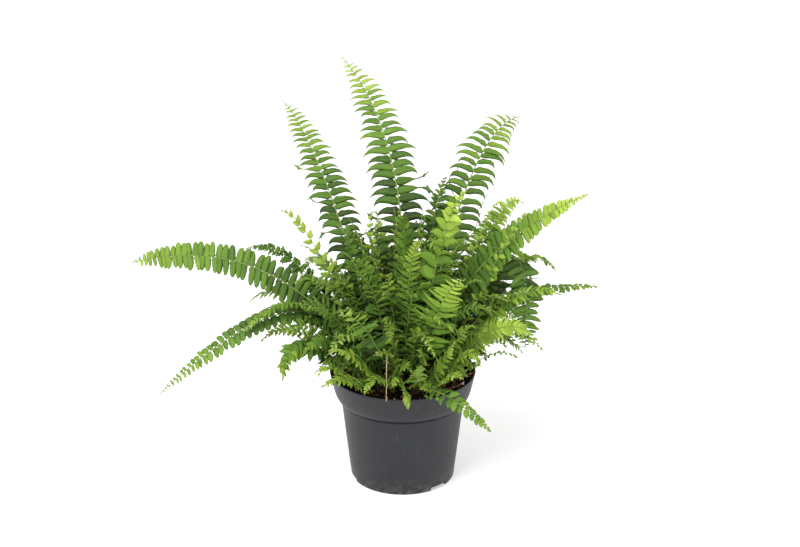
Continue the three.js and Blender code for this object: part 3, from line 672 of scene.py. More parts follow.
def leaf_finish(name, gloss, glow, bloom):
    """Green blade: fresher where the frond is young, with a midrib, side veins and a pale
    underside. gloss is its roughness, glow the share of light that comes through and bloom the
    share of a greyish wax on it."""
    sheet = FinishSheet(name)
    along, across, under = sheet.split_axes(sheet.attribute("leaf_place", "Vector"))[:3]
    off_middle = sheet.math("ABSOLUTE", across)
    cloud = sheet.minus(sheet.noise(LEAF_CLOUD_SIZE, 3), 0.5)
    freshness = sheet.plus(sheet.attribute("freshness"),
                           sheet.times(sheet.attribute("tone"), LEAF_TONE_SHARE))
    freshness = sheet.times_plus(cloud, LEAF_CLOUD_SHARE, freshness)
    freshness = sheet.times_plus(sheet.power(along, 2.0), LEAF_TIP_SHARE, freshness)
    green = sheet.tint(bloom, sheet.ramp(freshness, *LEAF_GREENS), WAX_COLOUR)

    vein_place = sheet.minus(sheet.times(along, VEINS), sheet.times(off_middle, VEIN_SLANT))
    wave = sheet.math("COSINE", sheet.times(vein_place, math.tau))
    marks = {
        "vein": sheet.remap(wave, 0.55, 1.0),
        "midrib": sheet.remap(off_middle, 0.04, 0.16, 1.0, 0.0),
        "edge": sheet.remap(off_middle, 0.8, 1.0),
        "under": under,
    }
    for mark, (strength, colour) in LEAF_MARKS.items():
        green = sheet.tint(sheet.times(marks[mark], strength), green, colour)

    relief = sheet.minus(sheet.times(cloud, 0.6), sheet.times(marks["vein"], 0.5))
    relief = sheet.minus(relief, marks["midrib"])
    bump = sheet.bump(relief, depth=0.00025, strength=0.7)
    rough = sheet.times_plus(cloud, 0.2, gloss)
    blade = sheet.shader(Base_Color=green, Roughness=rough, Specular_IOR_Level=0.2, Normal=bump)
    lit = sheet.tint(0.3, green, LIGHT_THROUGH_COLOUR)
    through = sheet.node("ShaderNodeBsdfTranslucent", {"Color": lit, "Normal": bump}).outputs[0]
    return sheet.finish(sheet.out("ShaderNodeMixShader", {"Fac": glow, 1: blade, 2: through}))


def rib_finish(name):
    """Stalk and rib: scurfy brown at the foot, then pale yellow-green."""
    sheet = FinishSheet(name)
    grain = sheet.noise(RIB_GRAIN, 4)
    up_rib = sheet.times_plus(sheet.minus(grain, 0.5), RIB_GRAIN_SHARE, sheet.attribute("stalk"))
    fresh = sheet.attribute("freshness")
    skin = sheet.tint(sheet.remap(fresh, 0.1, 0.34, 0.15, 0.85),
                      sheet.ramp(up_rib, *RIB_COLOURS), sheet.ramp(fresh, *YOUNG_RIB_COLOURS))
    surface = sheet.shader(Base_Color=skin, Roughness=0.5, Specular_IOR_Level=0.35,
                           Normal=sheet.bump(grain, depth=0.0002, strength=0.5))
    return sheet.finish(surface)


def scale_finish(name):
    """Dry brown scales on the stalks."""
    sheet = FinishSheet(name)
    colour = sheet.ramp(sheet.noise(0.004, 2), *SCALE_COLOURS)
    return sheet.finish(sheet.shader(Base_Color=colour, Roughness=0.8))


def plastic_finish(name, colour):
    """Satin moulded plastic with a fine grain, a little dust and some scuffs."""
    sheet = FinishSheet(name)
    plain = tuple(colour)
    stretched = sheet.node("ShaderNodeMapping", {"Vector": sheet.place, "Scale": (1, 1, 0.12)})
    streak = sheet.noise(0.004, 3, stretched.outputs[0])
    height = sheet.split_axes(sheet.place)["Z"]
    dust = sheet.times(sheet.remap(height, DUST_HEIGHT, 0.0, 0.0, 1.0),
                       sheet.remap(sheet.noise(0.006, 4), 0.45, 0.75))
    scuff = sheet.remap(streak, 0.62, 0.8)
    cloud = sheet.remap(sheet.noise(0.03, 3), 0.35, 0.7, 0.0, 0.22)
    body = sheet.tint(cloud, plain, sheet.tint(0.5, plain, PLASTIC_CLOUD))
    body = sheet.tint(sheet.times(scuff, 0.14), body, SCUFF_COLOUR)
    body = sheet.tint(sheet.times(dust, 0.3), body, DUST_COLOUR)
    rough = sheet.times_plus(streak, 0.16, 0.4)
    # Painted shade: a thin band at the groove under the collar loses its shine, so that it reads as
    # a dark shadow line.
    off_groove = sheet.math("ABSOLUTE", sheet.minus(height, GROOVE_HEIGHT))
    groove_shaded_shine = sheet.remap(off_groove, *GROOVE_SHADE_REACH, 0.05, 0.42)
    grain = sheet.bump(sheet.noise(0.0005, 2), depth=0.00006, strength=0.6)
    surface = sheet.shader(Base_Color=body, Roughness=rough, Specular_IOR_Level=groove_shaded_shine,
                           Normal=grain)
    return sheet.finish(surface)


def earth_finish(name, *stops, size=0.004):
    """Rough crumbly matter, its colours spread by noise and by each piece's own tone."""
    sheet = FinishSheet(name)
    key = sheet.times_plus(sheet.attribute("tone"), EARTH_TONE_SHARE, sheet.noise(size, 5))
    grain = sheet.bump(sheet.noise(size / 5, 3), depth=0.0008, strength=0.8)
    surface = sheet.shader(Base_Color=sheet.ramp(key, *stops), Roughness=0.93,
                           Specular_IOR_Level=0.2, Normal=grain)
    return sheet.finish(surface)


# Leaflets

# A leaflet's form. Its half width has a share at the foot (base), is full at a share of the
# length (foot) and closes by power and close. ratio is its width as a share of its length, widen
# how much wider leaflets get up the frond, ear the lobe at the foot, bend the curve towards the
# frond's tip, arch the curve down, cup how far it is hollow below, wave and teeth the depth of
# the edge's waves and teeth, and stations and lanes how many points there are along and across.
STYLE_VALUES = ("base", "foot", "power", "close", "ratio", "widen", "ear", "bend", "arch", "cup",
                "wave", "teeth", "stations", "lanes")
STYLES = {
    "sword": (0.5, 0.1, 2.2, 1.35, 0.255, -0.28, 0.3, 0.04, 0.04, 0.5, 0.14, 0.03, 10, 4),
    "sickle": (0.5, 0.08, 2.2, 1.1, 0.18, -0.2, 0.3, 0.05, 0.06, 0.5, 0.14, 0.03, 10, 4),
    "curved": (0.6, 0.1, 2.6, 0.9, 0.28, 0, 0.3, 0.26, 0.06, 0.4, 0.14, 0.06, 10, 4),
    "oblong": (0.8, 0.08, 3.6, 0.5, 0.4, 0.35, 0.15, 0.04, 0.06, 0.5, 0.1, 0.03, 9, 4),
    "heart": (0.5, 0.25, 1.9, 0.8, 0.66, 0.2, 0.15, 0.08, 0.12, 0.3, 0.15, 0.03, 9, 4),
    "ovate": (0.5, 0.25, 2.6, 0.72, 0.46, 0.3, 0.1, 0.06, 0.1, 0.3, 0.2, 0.05, 9, 4),
    "toothed": (0.5, 0.16, 2.6, 0.8, 0.36, 0.3, 0.3, 0.1, 0.08, 0.1, 0.3, 0.13, 9, 4),
    "round": (0.34, 0.35, 3.4, 0.6, 0.68, 0.3, 0.1, 0.04, 0.08, 0.3, 0.2, 0.08, 7, 4),
    "ruffled": (0.4, 0.3, 2.6, 0.6, 0.5, 0.35, 0.3, 0.06, 0.15, 0.1, 0.6, 0.2, 7, 2),
    "soft": (0.4, 0.2, 2.4, 0.8, 0.33, 0.3, 0.2, 0.12, 0.15, 0.4, 0.25, 0.05, 6, 2),
}
PLAIN_VARIANTS = 5
WISP_VARIANTS = 7

# How far a single leaflet strays from its style: factors on the style's value.
STRAYING = {"arch": (0.3, 1.9), "bend": (0.2, 1.8), "cup": (0.5, 1.5), "wave": (0.5, 1.5)}
RATIO_STRAYING = (0.9, 1.1)
MOST_TWIST = 0.5

# The thread-like lobed end: where its neck starts and ends, as shares of the length, the neck's
# width, how far the end curls to the side and up, and the lobes' width, the power that sets where
# they are widest, how much they wave, in how many radians of waves, and how sharply they close.
NECK_START = 0.5
NECK_END = 0.66
NECK_WIDTH = 0.15
CURL_ASIDE = (0.8, 2.4)
CURL_UP = (-2.4, 1.6)
LOBE_WIDTH = (0.25, 0.7)
LOBE_PEAK = (0.5, 1.2)
LOBE_RIPPLE = (0, 0.6)
LOBE_WAVES = 15
LOBE_CLOSE = 1.5
MORE_WISP_STATIONS = 8

# Where the ear at the foot is and how long it is, how far the halves fold up, how many radians
# of waves run along the edge, where the teeth are, where the blade's point at the rib lies and
# the power that draws the stations towards the foot.
EAR_PLACE = 0.1
EAR_LENGTH = 0.08
FOLD = 0.3
EDGE_WAVES = 17
TEETH_START = 0.1
TEETH_END = 0.97
BLADE_START = -0.02
STATION_SPREAD = 1.1


def style_named(name):
    """A style's values by their names."""
    return dict(zip(STYLE_VALUES, STYLES[name], strict=True))


def wisp_width(along, lobe):
    """How a leaflet's width shrinks to a thread past its middle and opens in last lobes. lobe is
    their width, where they are widest and how much they wave."""
    if along < NECK_START:
        share = along / NECK_START
        return 1 - (1 - NECK_WIDTH) * share ** 3
    if along < NECK_END:
        return NECK_WIDTH
    share = (along - NECK_END) / (1 - NECK_END)
    wide, peak, ripple = lobe
    swelling = math.sin(math.pi * share ** peak) ** LOBE_CLOSE
    wave = 1 + ripple * math.cos(share * LOBE_WAVES)
    return NECK_WIDTH * (1 - share) + wide * swelling * wave


class LeafletForm:
    """Where the points of one leaflet lie. It is one metre long, along +X, and faces +Z. side is
    1 where the frond's tip lies towards +Y and -1 where it lies towards -Y."""

    def __init__(self, style, side, seed, wisp, thickness):
        draw = random.Random(seed)
        self.style = style
        self.side = side
        self.wisp = wisp
        self.thickness = thickness
        self.arch, self.bend, self.cup, self.wave = (
            style[key] * draw.uniform(*factors) for key, factors in STRAYING.items())
        self.twist = draw.uniform(-MOST_TWIST, MOST_TWIST)
        self.phase = draw.uniform(0, math.tau)
        self.ratio = style["ratio"] * draw.uniform(*RATIO_STRAYING)
        self.curl = draw.choice((-1, 1)) * draw.uniform(*CURL_ASIDE), draw.uniform(*CURL_UP)
        self.lobe = [draw.uniform(*span) for span in (LOBE_WIDTH, LOBE_PEAK, LOBE_RIPPLE)]

    def middle(self, along):
        """Where the midrib runs at a station: to the side, and up."""
        sideways = self.bend * along ** 2
        upwards = -self.arch * along ** 2
        if self.wisp:
            past = max(along - NECK_START, 0)
            sideways += self.curl[0] * past ** 2
            upwards += self.curl[1] * past ** 2
        return sideways, upwards

    def half_width(self, along):
        """Half the blade's width at a station, without the ear and the teeth."""
        rise = math.sin(min(along / self.style["foot"], 1) * math.pi / 2)
        foot = self.style["base"] + (1 - self.style["base"]) * rise
        if self.wisp:
            return self.ratio / 2 * foot * wisp_width(along, self.lobe)
        return self.ratio / 2 * foot * (1 - along ** self.style["power"]) ** self.style["close"]

    def spot(self, along, lane, top):
        """A point of the blade at a station and a lane. top is 1, -1 or 0 at the edge."""
        half = self.half_width(along)
        if lane > 0:
            half *= 1 + self.style["ear"] * math.exp(-((along - EAR_PLACE) / EAR_LENGTH) ** 2)
        sideways, upwards = self.middle(along)
        y = lane * half
        z = half * (FOLD * abs(lane) - self.cup * lane ** 2)
        z += self.wave * half * abs(lane) * math.sin(along * EDGE_WAVES + self.phase + lane)
        z += top * self.thickness / 2
        turn = self.twist * along
        y, z = y * math.cos(turn) - z * math.sin(turn), y * math.sin(turn) + z * math.cos(turn)
        return Vector((along, self.side * (y + sideways), z + upwards))

    def tip(self):
        sideways, upwards = self.middle(1)
        return Vector((1, self.side * sideways, upwards))


def blade_faces(rows, lanes, last):
    """Faces of a closed blade between its first point, its rows of points and its last point."""
    def at(row, lane, top):
        return row.get((lane, top), row.get((lane, 0)))

    faces = []
    for top in (1, -1):
        for j in range(lanes):
            faces.append((0, at(rows[0], j, top), at(rows[0], j + 1, top)))
            for near, far in zip(rows, rows[1:]):
                faces.append((at(near, j, top), at(far, j, top),
                              at(far, j + 1, top), at(near, j + 1, top)))
            faces.append((at(rows[-1], j, top), last, at(rows[-1], j + 1, top)))
    return faces


def leaflet_mesh(name, style, side, seed, wisp, thickness):
    """A closed blade. Each of its points carries its place along it, across it and beneath."""
    form = LeafletForm(style, side, seed, wisp, thickness)
    lanes = style["lanes"]
    stations = style["stations"] + (MORE_WISP_STATIONS if wisp else 0)
    points = [Vector((BLADE_START, 0, 0))]
    places = [(0, 0, 0)]
    rows = []
    for i in range(stations):
        along = math.sin(math.pi / 2 * i / stations) ** STATION_SPREAD
        toothed = TEETH_START < along < TEETH_END
        tooth = 1 + style["teeth"] * (1 if i % 2 else -1) * toothed
        row = {}
        for j in range(lanes + 1):
            lane = 2 * j / lanes - 1
            edge = j in (0, lanes)
            for top in ((0,) if edge else (1, -1)):
                row[j, top] = len(points)
                points.append(form.spot(along, lane * (tooth if edge else 1), top))
                places.append((along, lane, 1 if top < 0 else 0))
        rows.append(row)
    points.append(form.tip())
    places.append((1, 0, 0))

    mesh = mesh_from(name, points, blade_faces(rows, lanes, len(points) - 1))
    field = mesh.attributes.new("leaf_place", "FLOAT_VECTOR", "POINT")
    field.data.foreach_set("vector", [value for place in places for value in place])
    return mesh


def leaflet_patterns(style_name, leaflet, blade):
    """A collection of leaflets to copy: plain right ones, plain left ones, then wisps."""
    style = style_named(style_name)
    group_name = "patterns_" + style_name
    patterns = []
    for wisp, variants in ((False, PLAIN_VARIANTS), (True, WISP_VARIANTS)):
        for side in (1, -1):
            for seed in range(variants):
                name = f"{group_name}_{len(patterns):02d}"
                mesh = leaflet_mesh(name, style, side, seed, wisp, blade / leaflet)
                patterns.append(bpy.data.objects.new(name, mesh))
    return pattern_group(group_name, patterns)


def scale_pattern():
    """A slim pointed flake for the foot of a stalk, one metre long, along +X."""
    points = [(0, 0, 0), (0.35, 0.16, 0.03), (0.35, -0.16, 0.03), (1, 0, -0.12), (0.4, 0, 0.08)]
    faces = [(0, 1, 4), (4, 2, 0), (1, 3, 4), (4, 3, 2), (0, 2, 1), (1, 2, 3)]
    return bpy.data.objects.new("pattern_scale", mesh_from("pattern_scale", points, faces))


# Fronds

FROND_INPUTS = {
    **dict.fromkeys(("Start", "Control", "Tip", "Facing"), "Vector"),
    **dict.fromkeys((
        "Root Depth", "Rib Width", "Rib Tip Width", "Bare Share", "Leaflet Length", "Level",
        "Taper Power", "Taper Curve", "Sweep", "Droop", "Unevenness", "Freshness",
        "Freshness Gain", "Wisp Share", "Wisp Lean", "Tip Widening"), "Float"),
    **dict.fromkeys(("Pairs", "Scale Count", "Seed"), "Int"),
    **dict.fromkeys(("Leaf Finish", "Rib Finish", "Scale Finish"), "Material"),
    "Leaflets": "Collection",
    "Scale": "Object",
}
RIB_STEPS = 44
RIB_SIDES = 7
RIB_TAPER = 0.8

# Where the leaflets stand: the share of the rib past the last pair, how far the two of a pair
# are apart, and how much wider the first step is than an even one.
TIP_SHARE = 0.012
STAGGER = 0.14
FIRST_PACE = 1.4

# How they point: what the sweep gains towards the tip, and their roll against other straying.
SWEEP_GAIN = 1.1
ROLL_SHARE = 1.5

# Their length: its share at the first pair, how fast it grows from there, how far it strays and
# the least in metres, and the powers by which the widening and the fresher green set in towards
# the tip.
FIRST_SWELL = 0.72
SWELL_RISE = 1.2
LENGTH_STRAY = 0.08
LEAST_LEAFLET = 0.0022
WIDENING_POWER = 3.0
FRESH_POWER = 2.4

# Their droop: how far it strays, factors for the lowest and the highest leaflets, how much a
# leaflet rises before it sinks, and what the bend takes off its reach.
DROOP_STRAY = 0.4
LOW_DROOP = 1.3
HIGH_DROOP = 0.75
FIRST_RISE = 0.34
BEND_LOSS = 0.6

# Thread-like ends: how much longer such leaflets are, their share of the droop, and how far up
# the blade all and none of them are possible.
WISP_STRETCH = 1.1
WISP_DROOP = 0.4
WISPS_START = 0.3
WISPS_END = 0.75

# Scales: their length in metres and the least share of it, the share of the bare stalk where
# they stand, their depth in the stalk and how far they stand off.
SCALE_LENGTH = 0.0045
LEAST_SCALE = 0.45
SCALE_SPAN = (0.02, 0.75)
SCALE_SEAT = 0.42
SCALE_LEAN = (0.3, 1.1)


def rib_frame(sheet, curve, share):
    """Place on the rib at a share of its length, and the ways along, right and up there."""
    inputs = sheet.inputs
    middle = sheet.node("GeometryNodeSampleCurve", {"Curves": curve, "Factor": 0.5}, mode="FACTOR")
    across = sheet.vector("CROSS_PRODUCT", middle.outputs["Tangent"], inputs["Facing"])
    spot = sheet.node("GeometryNodeSampleCurve", {"Curves": curve, "Factor": share}, mode="FACTOR")
    along = spot.outputs["Tangent"]
    lean = sheet.vector("SCALE", along, sheet.vector("DOT_PRODUCT", across, along))
    right = sheet.vector("NORMALIZE", sheet.vector("SUBTRACT", across, lean))
    return spot.outputs["Position"], along, right, sheet.vector("CROSS_PRODUCT", right, along)


def build_rib(sheet, curve):
    """The tapering rib, with a straight foot that stands in the soil."""
    inputs = sheet.inputs
    share = sheet.node("GeometryNodeSplineParameter").outputs["Factor"]
    width = sheet.blend(sheet.power(share, RIB_TAPER), inputs["Rib Width"],
                        inputs["Rib Tip Width"])
    fresh = sheet.times_plus(share, inputs["Freshness Gain"], inputs["Freshness"])
    marked = sheet.store(sheet.store(curve, "stalk", share), "freshness", fresh)
    ring = sheet.out("GeometryNodeCurvePrimitiveCircle", {"Resolution": RIB_SIDES, "Radius": 0.5})
    rib = sheet.out("GeometryNodeCurveToMesh", {
        "Curve": marked, "Profile Curve": ring, "Scale": width, "Fill Caps": True})
    depth = sheet.join_axes(0.0, 0.0, inputs["Root Depth"])
    line = sheet.out("GeometryNodeCurvePrimitiveLine", {
        "Start": inputs["Start"], "End": sheet.vector("SUBTRACT", inputs["Start"], depth)})
    foot = sheet.out("GeometryNodeCurveToMesh", {
        "Curve": line, "Profile Curve": ring, "Scale": inputs["Rib Width"], "Fill Caps": True})
    smooth = sheet.out("GeometryNodeSetShadeSmooth", {"Geometry": sheet.join(rib, foot)})
    return sheet.paint(smooth, inputs["Rib Finish"])


def leaflet_order(sheet):
    """Where each leaflet comes: 1 if it is a left one, its side (1 right, -1 left), whether it is
    the one at the tip, and its place up the leafy part, from 0 to 1."""
    index = sheet.out("GeometryNodeInputIndex")
    pair = sheet.math("FLOOR", sheet.math("DIVIDE", index, 2.0))
    left = sheet.minus(index, sheet.times(pair, 2.0))
    side = sheet.minus(1.0, sheet.times(left, 2.0))
    at_tip = sheet.math("GREATER_THAN", pair, sheet.minus(sheet.inputs["Pairs"], 0.5))
    stagger = sheet.times(sheet.plus(sheet.random(1), side), STAGGER)
    step = sheet.plus(sheet.plus(pair, 0.5), stagger)
    step = sheet.math("DIVIDE", step, sheet.inputs["Pairs"])
    pace = sheet.minus(FIRST_PACE, sheet.times(step, FIRST_PACE - 1))
    spread = sheet.math("MINIMUM", sheet.times(step, pace), 1.0)
    return left, side, at_tip, spread


def leaflet_turns(sheet, side, at_tip, spread, along, right, up):
    """The way that each leaflet points and its rotation, from the ways along, right and up at
    its place on the rib."""
    uneven = sheet.inputs["Unevenness"]
    sweep = sheet.times_plus(sheet.power(spread, 2.0), SWEEP_GAIN, 1.0)
    sweep = sheet.times(sweep, sheet.inputs["Sweep"])
    sweep = sheet.times_plus(sheet.random(2), uneven, sweep)
    reach = sheet.vector("SCALE", right, sheet.times(side, sheet.math("COSINE", sweep)))
    forward = sheet.vector("SCALE", along, sheet.math("SINE", sweep))
    lift = sheet.vector("SCALE", up, sheet.times(sheet.random(3), uneven))
    out = sheet.vector("ADD", sheet.vector("ADD", reach, forward), lift)
    steep = sheet.times(sheet.split_axes(out)["Z"], sheet.inputs["Level"])
    out = sheet.vector("SUBTRACT", out, sheet.join_axes(0.0, 0.0, steep))
    out = sheet.blend_vectors(at_tip, sheet.vector("NORMALIZE", out), along)
    roll = sheet.times(sheet.random(4), sheet.times(uneven, ROLL_SHARE))
    rolled = sheet.out("FunctionNodeAxisAngleToRotation", {"Axis": (1, 0, 0), "Angle": roll})
    return out, sheet.out("FunctionNodeRotateRotation", {
        "Rotation": sheet.aim(out, up), "Rotate By": rolled}, rotation_space="LOCAL")


def leaflet_sizes(sheet, spread, wisp):
    """Each leaflet's length, its width as a length, and its droop."""
    inputs = sheet.inputs
    swell = sheet.times_plus(spread, SWELL_RISE, FIRST_SWELL)
    swell = sheet.math("MINIMUM", swell, 1.0)
    taper = sheet.minus(1.0, sheet.power(spread, inputs["Taper Power"]))
    taper = sheet.power(taper, inputs["Taper Curve"])
    length = sheet.times(sheet.times(swell, taper), inputs["Leaflet Length"])
    stray = sheet.times_plus(sheet.random(5), LENGTH_STRAY, 1.0)
    length = sheet.math("MAXIMUM", sheet.times(length, stray), LEAST_LEAFLET)
    widen = sheet.times_plus(sheet.power(spread, WIDENING_POWER), inputs["Tip Widening"], 1.0)
    width = sheet.times(length, widen)
    length = sheet.times(length, sheet.blend(wisp, 1.0, WISP_STRETCH))

    stray = sheet.times_plus(sheet.random(6), DROOP_STRAY, 1.0)
    droop = sheet.times(stray, inputs["Droop"])
    droop = sheet.times(droop, sheet.blend(spread, LOW_DROOP, HIGH_DROOP))
    droop = sheet.times(droop, sheet.blend(wisp, 1.0, WISP_DROOP))
    return length, width, droop


def leaflet_pattern(sheet, left, wisp):
    """The number of the pattern that each leaflet copies."""
    pick = sheet.plus(left, sheet.random(9, 0.0, 0.999))
    plain = sheet.math("FLOOR", sheet.times(pick, float(PLAIN_VARIANTS)))
    forked = sheet.math("FLOOR", sheet.times(pick, float(WISP_VARIANTS)))
    forked = sheet.plus(forked, 2.0 * PLAIN_VARIANTS)
    return sheet.blend(wisp, plain, forked)


def build_leaflets(sheet, curve):
    """Leaflets in pairs up the rib, each a little different, and one at the tip."""
    inputs = sheet.inputs
    left, side, at_tip, spread = leaflet_order(sheet)
    leafy = sheet.minus(1 - TIP_SHARE, inputs["Bare Share"])
    share = sheet.times_plus(spread, leafy, inputs["Bare Share"])
    spot, along, right, up = rib_frame(sheet, curve, share)
    out, turned = leaflet_turns(sheet, side, at_tip, spread, along, right, up)
    wisp = wisp_choice(sheet, spread, side)
    length, width, droop = leaflet_sizes(sheet, spread, wisp)

    count = sheet.times_plus(inputs["Pairs"], 2.0, 1.0)
    points = sheet.out("GeometryNodePoints", {"Count": count, "Position": spot})
    held = sheet.capture(points, Out=out, Length=length, Droop=droop)
    fresh = sheet.times_plus(sheet.power(spread, FRESH_POWER),
                             inputs["Freshness Gain"], inputs["Freshness"])
    marked = sheet.store(held["Geometry"], "freshness", fresh)
    marked = sheet.store(marked, "tone", sheet.random(7))
    leaflets = sheet.copies(marked, turned, sheet.join_axes(length, width, length),
                            inputs["Leaflets"], leaflet_pattern(sheet, left, wisp))
    return sheet.paint(sag(sheet, leaflets, held), inputs["Leaf Finish"])


def wisp_choice(sheet, spread, side):
    """1 for a leaflet with a thread-like lobed end and else 0: there are most low down, and
    more on the right where the lean is above nought."""
    chance = sheet.times(sheet.inputs["Wisp Share"], sheet.remap(spread, WISPS_END, WISPS_START))
    lean = sheet.times_plus(side, sheet.inputs["Wisp Lean"], 1.0)
    chance = sheet.times(chance, lean)
    return sheet.math("LESS_THAN", sheet.random(8, 0.0, 1.0), chance)


def sag(sheet, leaflets, held):
    """Let every leaflet's outer part sink under its weight and keep its length."""
    place = sheet.out("GeometryNodeInputNamedAttribute", {"Name": "leaf_place"},
                      data_type="FLOAT_VECTOR")
    along = sheet.split_axes(place)["X"]
    down = sheet.vector("SCALE", held["Out"], sheet.split_axes(held["Out"])["Z"])
    down = sheet.vector("SUBTRACT", down, (0, 0, 1))
    bend = sheet.minus(sheet.power(along, 2.0), FIRST_RISE)
    bow = sheet.times(held["Droop"], sheet.times(along, bend))
    sink = sheet.vector("SCALE", down, sheet.times(bow, held["Length"]))
    slope = sheet.times(held["Droop"], sheet.vector("LENGTH", down))
    lost = sheet.times(sheet.power(slope, 2.0), sheet.power(along, 5.0))
    lost = sheet.times(sheet.times(lost, BEND_LOSS), held["Length"])
    pull = sheet.vector("SCALE", held["Out"], lost)
    return sheet.out("GeometryNodeSetPosition", {
        "Geometry": leaflets, "Offset": sheet.vector("SUBTRACT", sink, pull)})


def build_scales(sheet, curve):
    """Brown scales round the foot of the stalk."""
    inputs = sheet.inputs
    share = sheet.times(sheet.random(11, *SCALE_SPAN), inputs["Bare Share"])
    spot, along, right, up = rib_frame(sheet, curve, share)
    angle = sheet.random(12, 0.0, math.tau)
    outwards = sheet.vector("ADD", sheet.vector("SCALE", right, sheet.math("COSINE", angle)),
                            sheet.vector("SCALE", up, sheet.math("SINE", angle)))
    seat = sheet.times(inputs["Rib Width"], SCALE_SEAT)
    spot = sheet.vector("ADD", spot, sheet.vector("SCALE", outwards, seat))
    lean = sheet.vector("SCALE", outwards, sheet.random(13, *SCALE_LEAN))
    turned = sheet.aim(sheet.vector("ADD", along, lean), outwards)
    points = sheet.out("GeometryNodePoints", {"Count": inputs["Scale Count"], "Position": spot})
    flake = sheet.node("GeometryNodeObjectInfo", {"Object": inputs["Scale"]}).outputs["Geometry"]
    size = sheet.times(sheet.random(14, LEAST_SCALE, 1.0), SCALE_LENGTH)
    copies = sheet.out("GeometryNodeInstanceOnPoints", {
        "Points": points, "Instance": flake, "Rotation": turned, "Scale": size})
    return sheet.paint(sheet.realize(copies), inputs["Scale Finish"])


def frond_sheet():
    """The tree that grows a frond from its named inputs."""
    sheet = GeometrySheet("Fern frond", FROND_INPUTS)
    inputs = sheet.inputs
    curve = sheet.out("GeometryNodeCurveQuadraticBezier", {
        "Resolution": RIB_STEPS, "Start": inputs["Start"], "Middle": inputs["Control"],
        "End": inputs["Tip"]})
    sheet.finish(sheet.join(build_rib(sheet, curve), build_leaflets(sheet, curve),
                            build_scales(sheet, curve)))
    return sheet


def rib_points(base, middle, tip, soil_line):
    """Start, control point and tip of a rib that passes through its middle."""
    start = Vector((base[0] * MM, base[1] * MM, soil_line))
    end = Vector(tip) * MM
    return start, Vector(middle) * MM * 2 - (start + end) / 2, end


# Pot

# Sizes in millimetres. Angles are in degrees.
POT_HEIGHT = 94
RIM_RADIUS = 60
BASE_RADIUS = 42.6
EDGE_ROUND = 2.2
FOOT_RING_WIDTH = 4.5
FLOOR_UNDERSIDE = 3
FLOOR_TOP = 4.6
FLOOR_ROUND = 1.6
CENTRE_PAD_RADIUS = 14
PAD_SLOPE = 0.6
SMALL_ROUND = 0.5
LIP_ROUND = 0.7
INSIDE_DROP = 0.4
LONGEST_STEP = 3

# Corners of the wall between its foot and its lip, up the outside: radius, height and rounding.
OUTSIDE = [
    (50.6, 69.4, 0.5),
    (52.4, 70.2, 0.9),
    (55, 73.8, 2.5),
    (56.6, 79, 4),
]
NOTCH_COUNT = 3
NOTCH_FIRST = -45
NOTCH_SIZE = (2 * (FOOT_RING_WIDTH + EDGE_ROUND), 18, 7.2)
SLOT_SIZE = (6, 11, 11.2)
SLOT_OVERLAP = 1
DRAIN_COUNT = 6
DRAIN_FIRST = -15
DRAIN_RADIUS = 4.5
DRAIN_CIRCLE = 25
DRAIN_DEPTH = 20
DRAIN_SIDES = 32
FOOT_INSIDE = BASE_RADIUS - EDGE_ROUND - FOOT_RING_WIDTH
CREASE_ANGLE = 35

# A point this near to the axis, in metres, is on it.
ON_AXIS = 1e-6


def rounded(corners, steps=6):
    """A closed outline whose corners, given as radius, height and rounding, are eased."""
    outline = []
    for i, (radius, height, ease) in enumerate(corners):
        here = Vector((radius, height))
        if not ease:
            outline.append(here)
            continue
        before = Vector(corners[i - 1][:2]) - here
        after = Vector(corners[(i + 1) % len(corners)][:2]) - here
        start = here + before.normalized() * min(ease, before.length / 2)
        end = here + after.normalized() * min(ease, after.length / 2)
        for k in range(steps + 1):
            t = k / steps
            outline.append(start * (1 - t) ** 2 + here * 2 * t * (1 - t) + end * t ** 2)
    return outline


def spaced(outline, longest):
    """The outline with more points, so that no step along it is longer than asked."""
    close = []
    for near, far in zip(outline, outline[1:]):
        parts = max(1, math.ceil((far - near).length / longest))
        close += [near.lerp(far, k / parts) for k in range(parts)]
    return [*close, outline[-1]]


def lathe_mesh(name, outline, sides):
    """A closed turned shape. The outline starts and ends on the axis, in metres."""
    points = []
    rings = []
    for radius, height in outline:
        if radius < ON_AXIS:
            rings.append([len(points)] * sides)
            points.append((0, 0, height))
            continue
        rings.append(list(range(len(points), len(points) + sides)))
        for k in range(sides):
            angle = math.tau * k / sides
            points.append((radius * math.cos(angle), radius * math.sin(angle), height))
    faces = []
    for lower, upper in zip(rings, rings[1:]):
        for k in range(sides):
            n = (k + 1) % sides
            face = dict.fromkeys((lower[k], lower[n], upper[n], upper[k]))
            if len(face) > 2:
                faces.append(tuple(face))
    return mesh_from(name, points, faces)


def pot_outline(height, rim_radius, wall):
    """The pot's section, from the axis under the floor, up outside, and down inside. It comes in
    metres, as height and rim_radius do. wall is in millimetres."""
    outer = [(BASE_RADIUS, 0, EDGE_ROUND), *OUTSIDE, (RIM_RADIUS, POT_HEIGHT, LIP_ROUND)]
    inner = [(r - wall, z if z == POT_HEIGHT else z - INSIDE_DROP, ease)
             for r, z, ease in outer[1:]]
    corners = [
        (0, 0, 0),
        (CENTRE_PAD_RADIUS, 0, SMALL_ROUND),
        (CENTRE_PAD_RADIUS + PAD_SLOPE, FLOOR_UNDERSIDE, SMALL_ROUND),
        (FOOT_INSIDE, FLOOR_UNDERSIDE, SMALL_ROUND),
        (FOOT_INSIDE + SMALL_ROUND, 0, SMALL_ROUND),
        *outer,
        *reversed(inner),
        (BASE_RADIUS - wall, FLOOR_TOP, FLOOR_ROUND),
        (0, FLOOR_TOP, 0),
    ]
    wide = rim_radius / RIM_RADIUS
    tall = height / POT_HEIGHT
    outline = spaced(rounded(corners), LONGEST_STEP)
    return [(point.x * wide, point.y * tall) for point in outline]


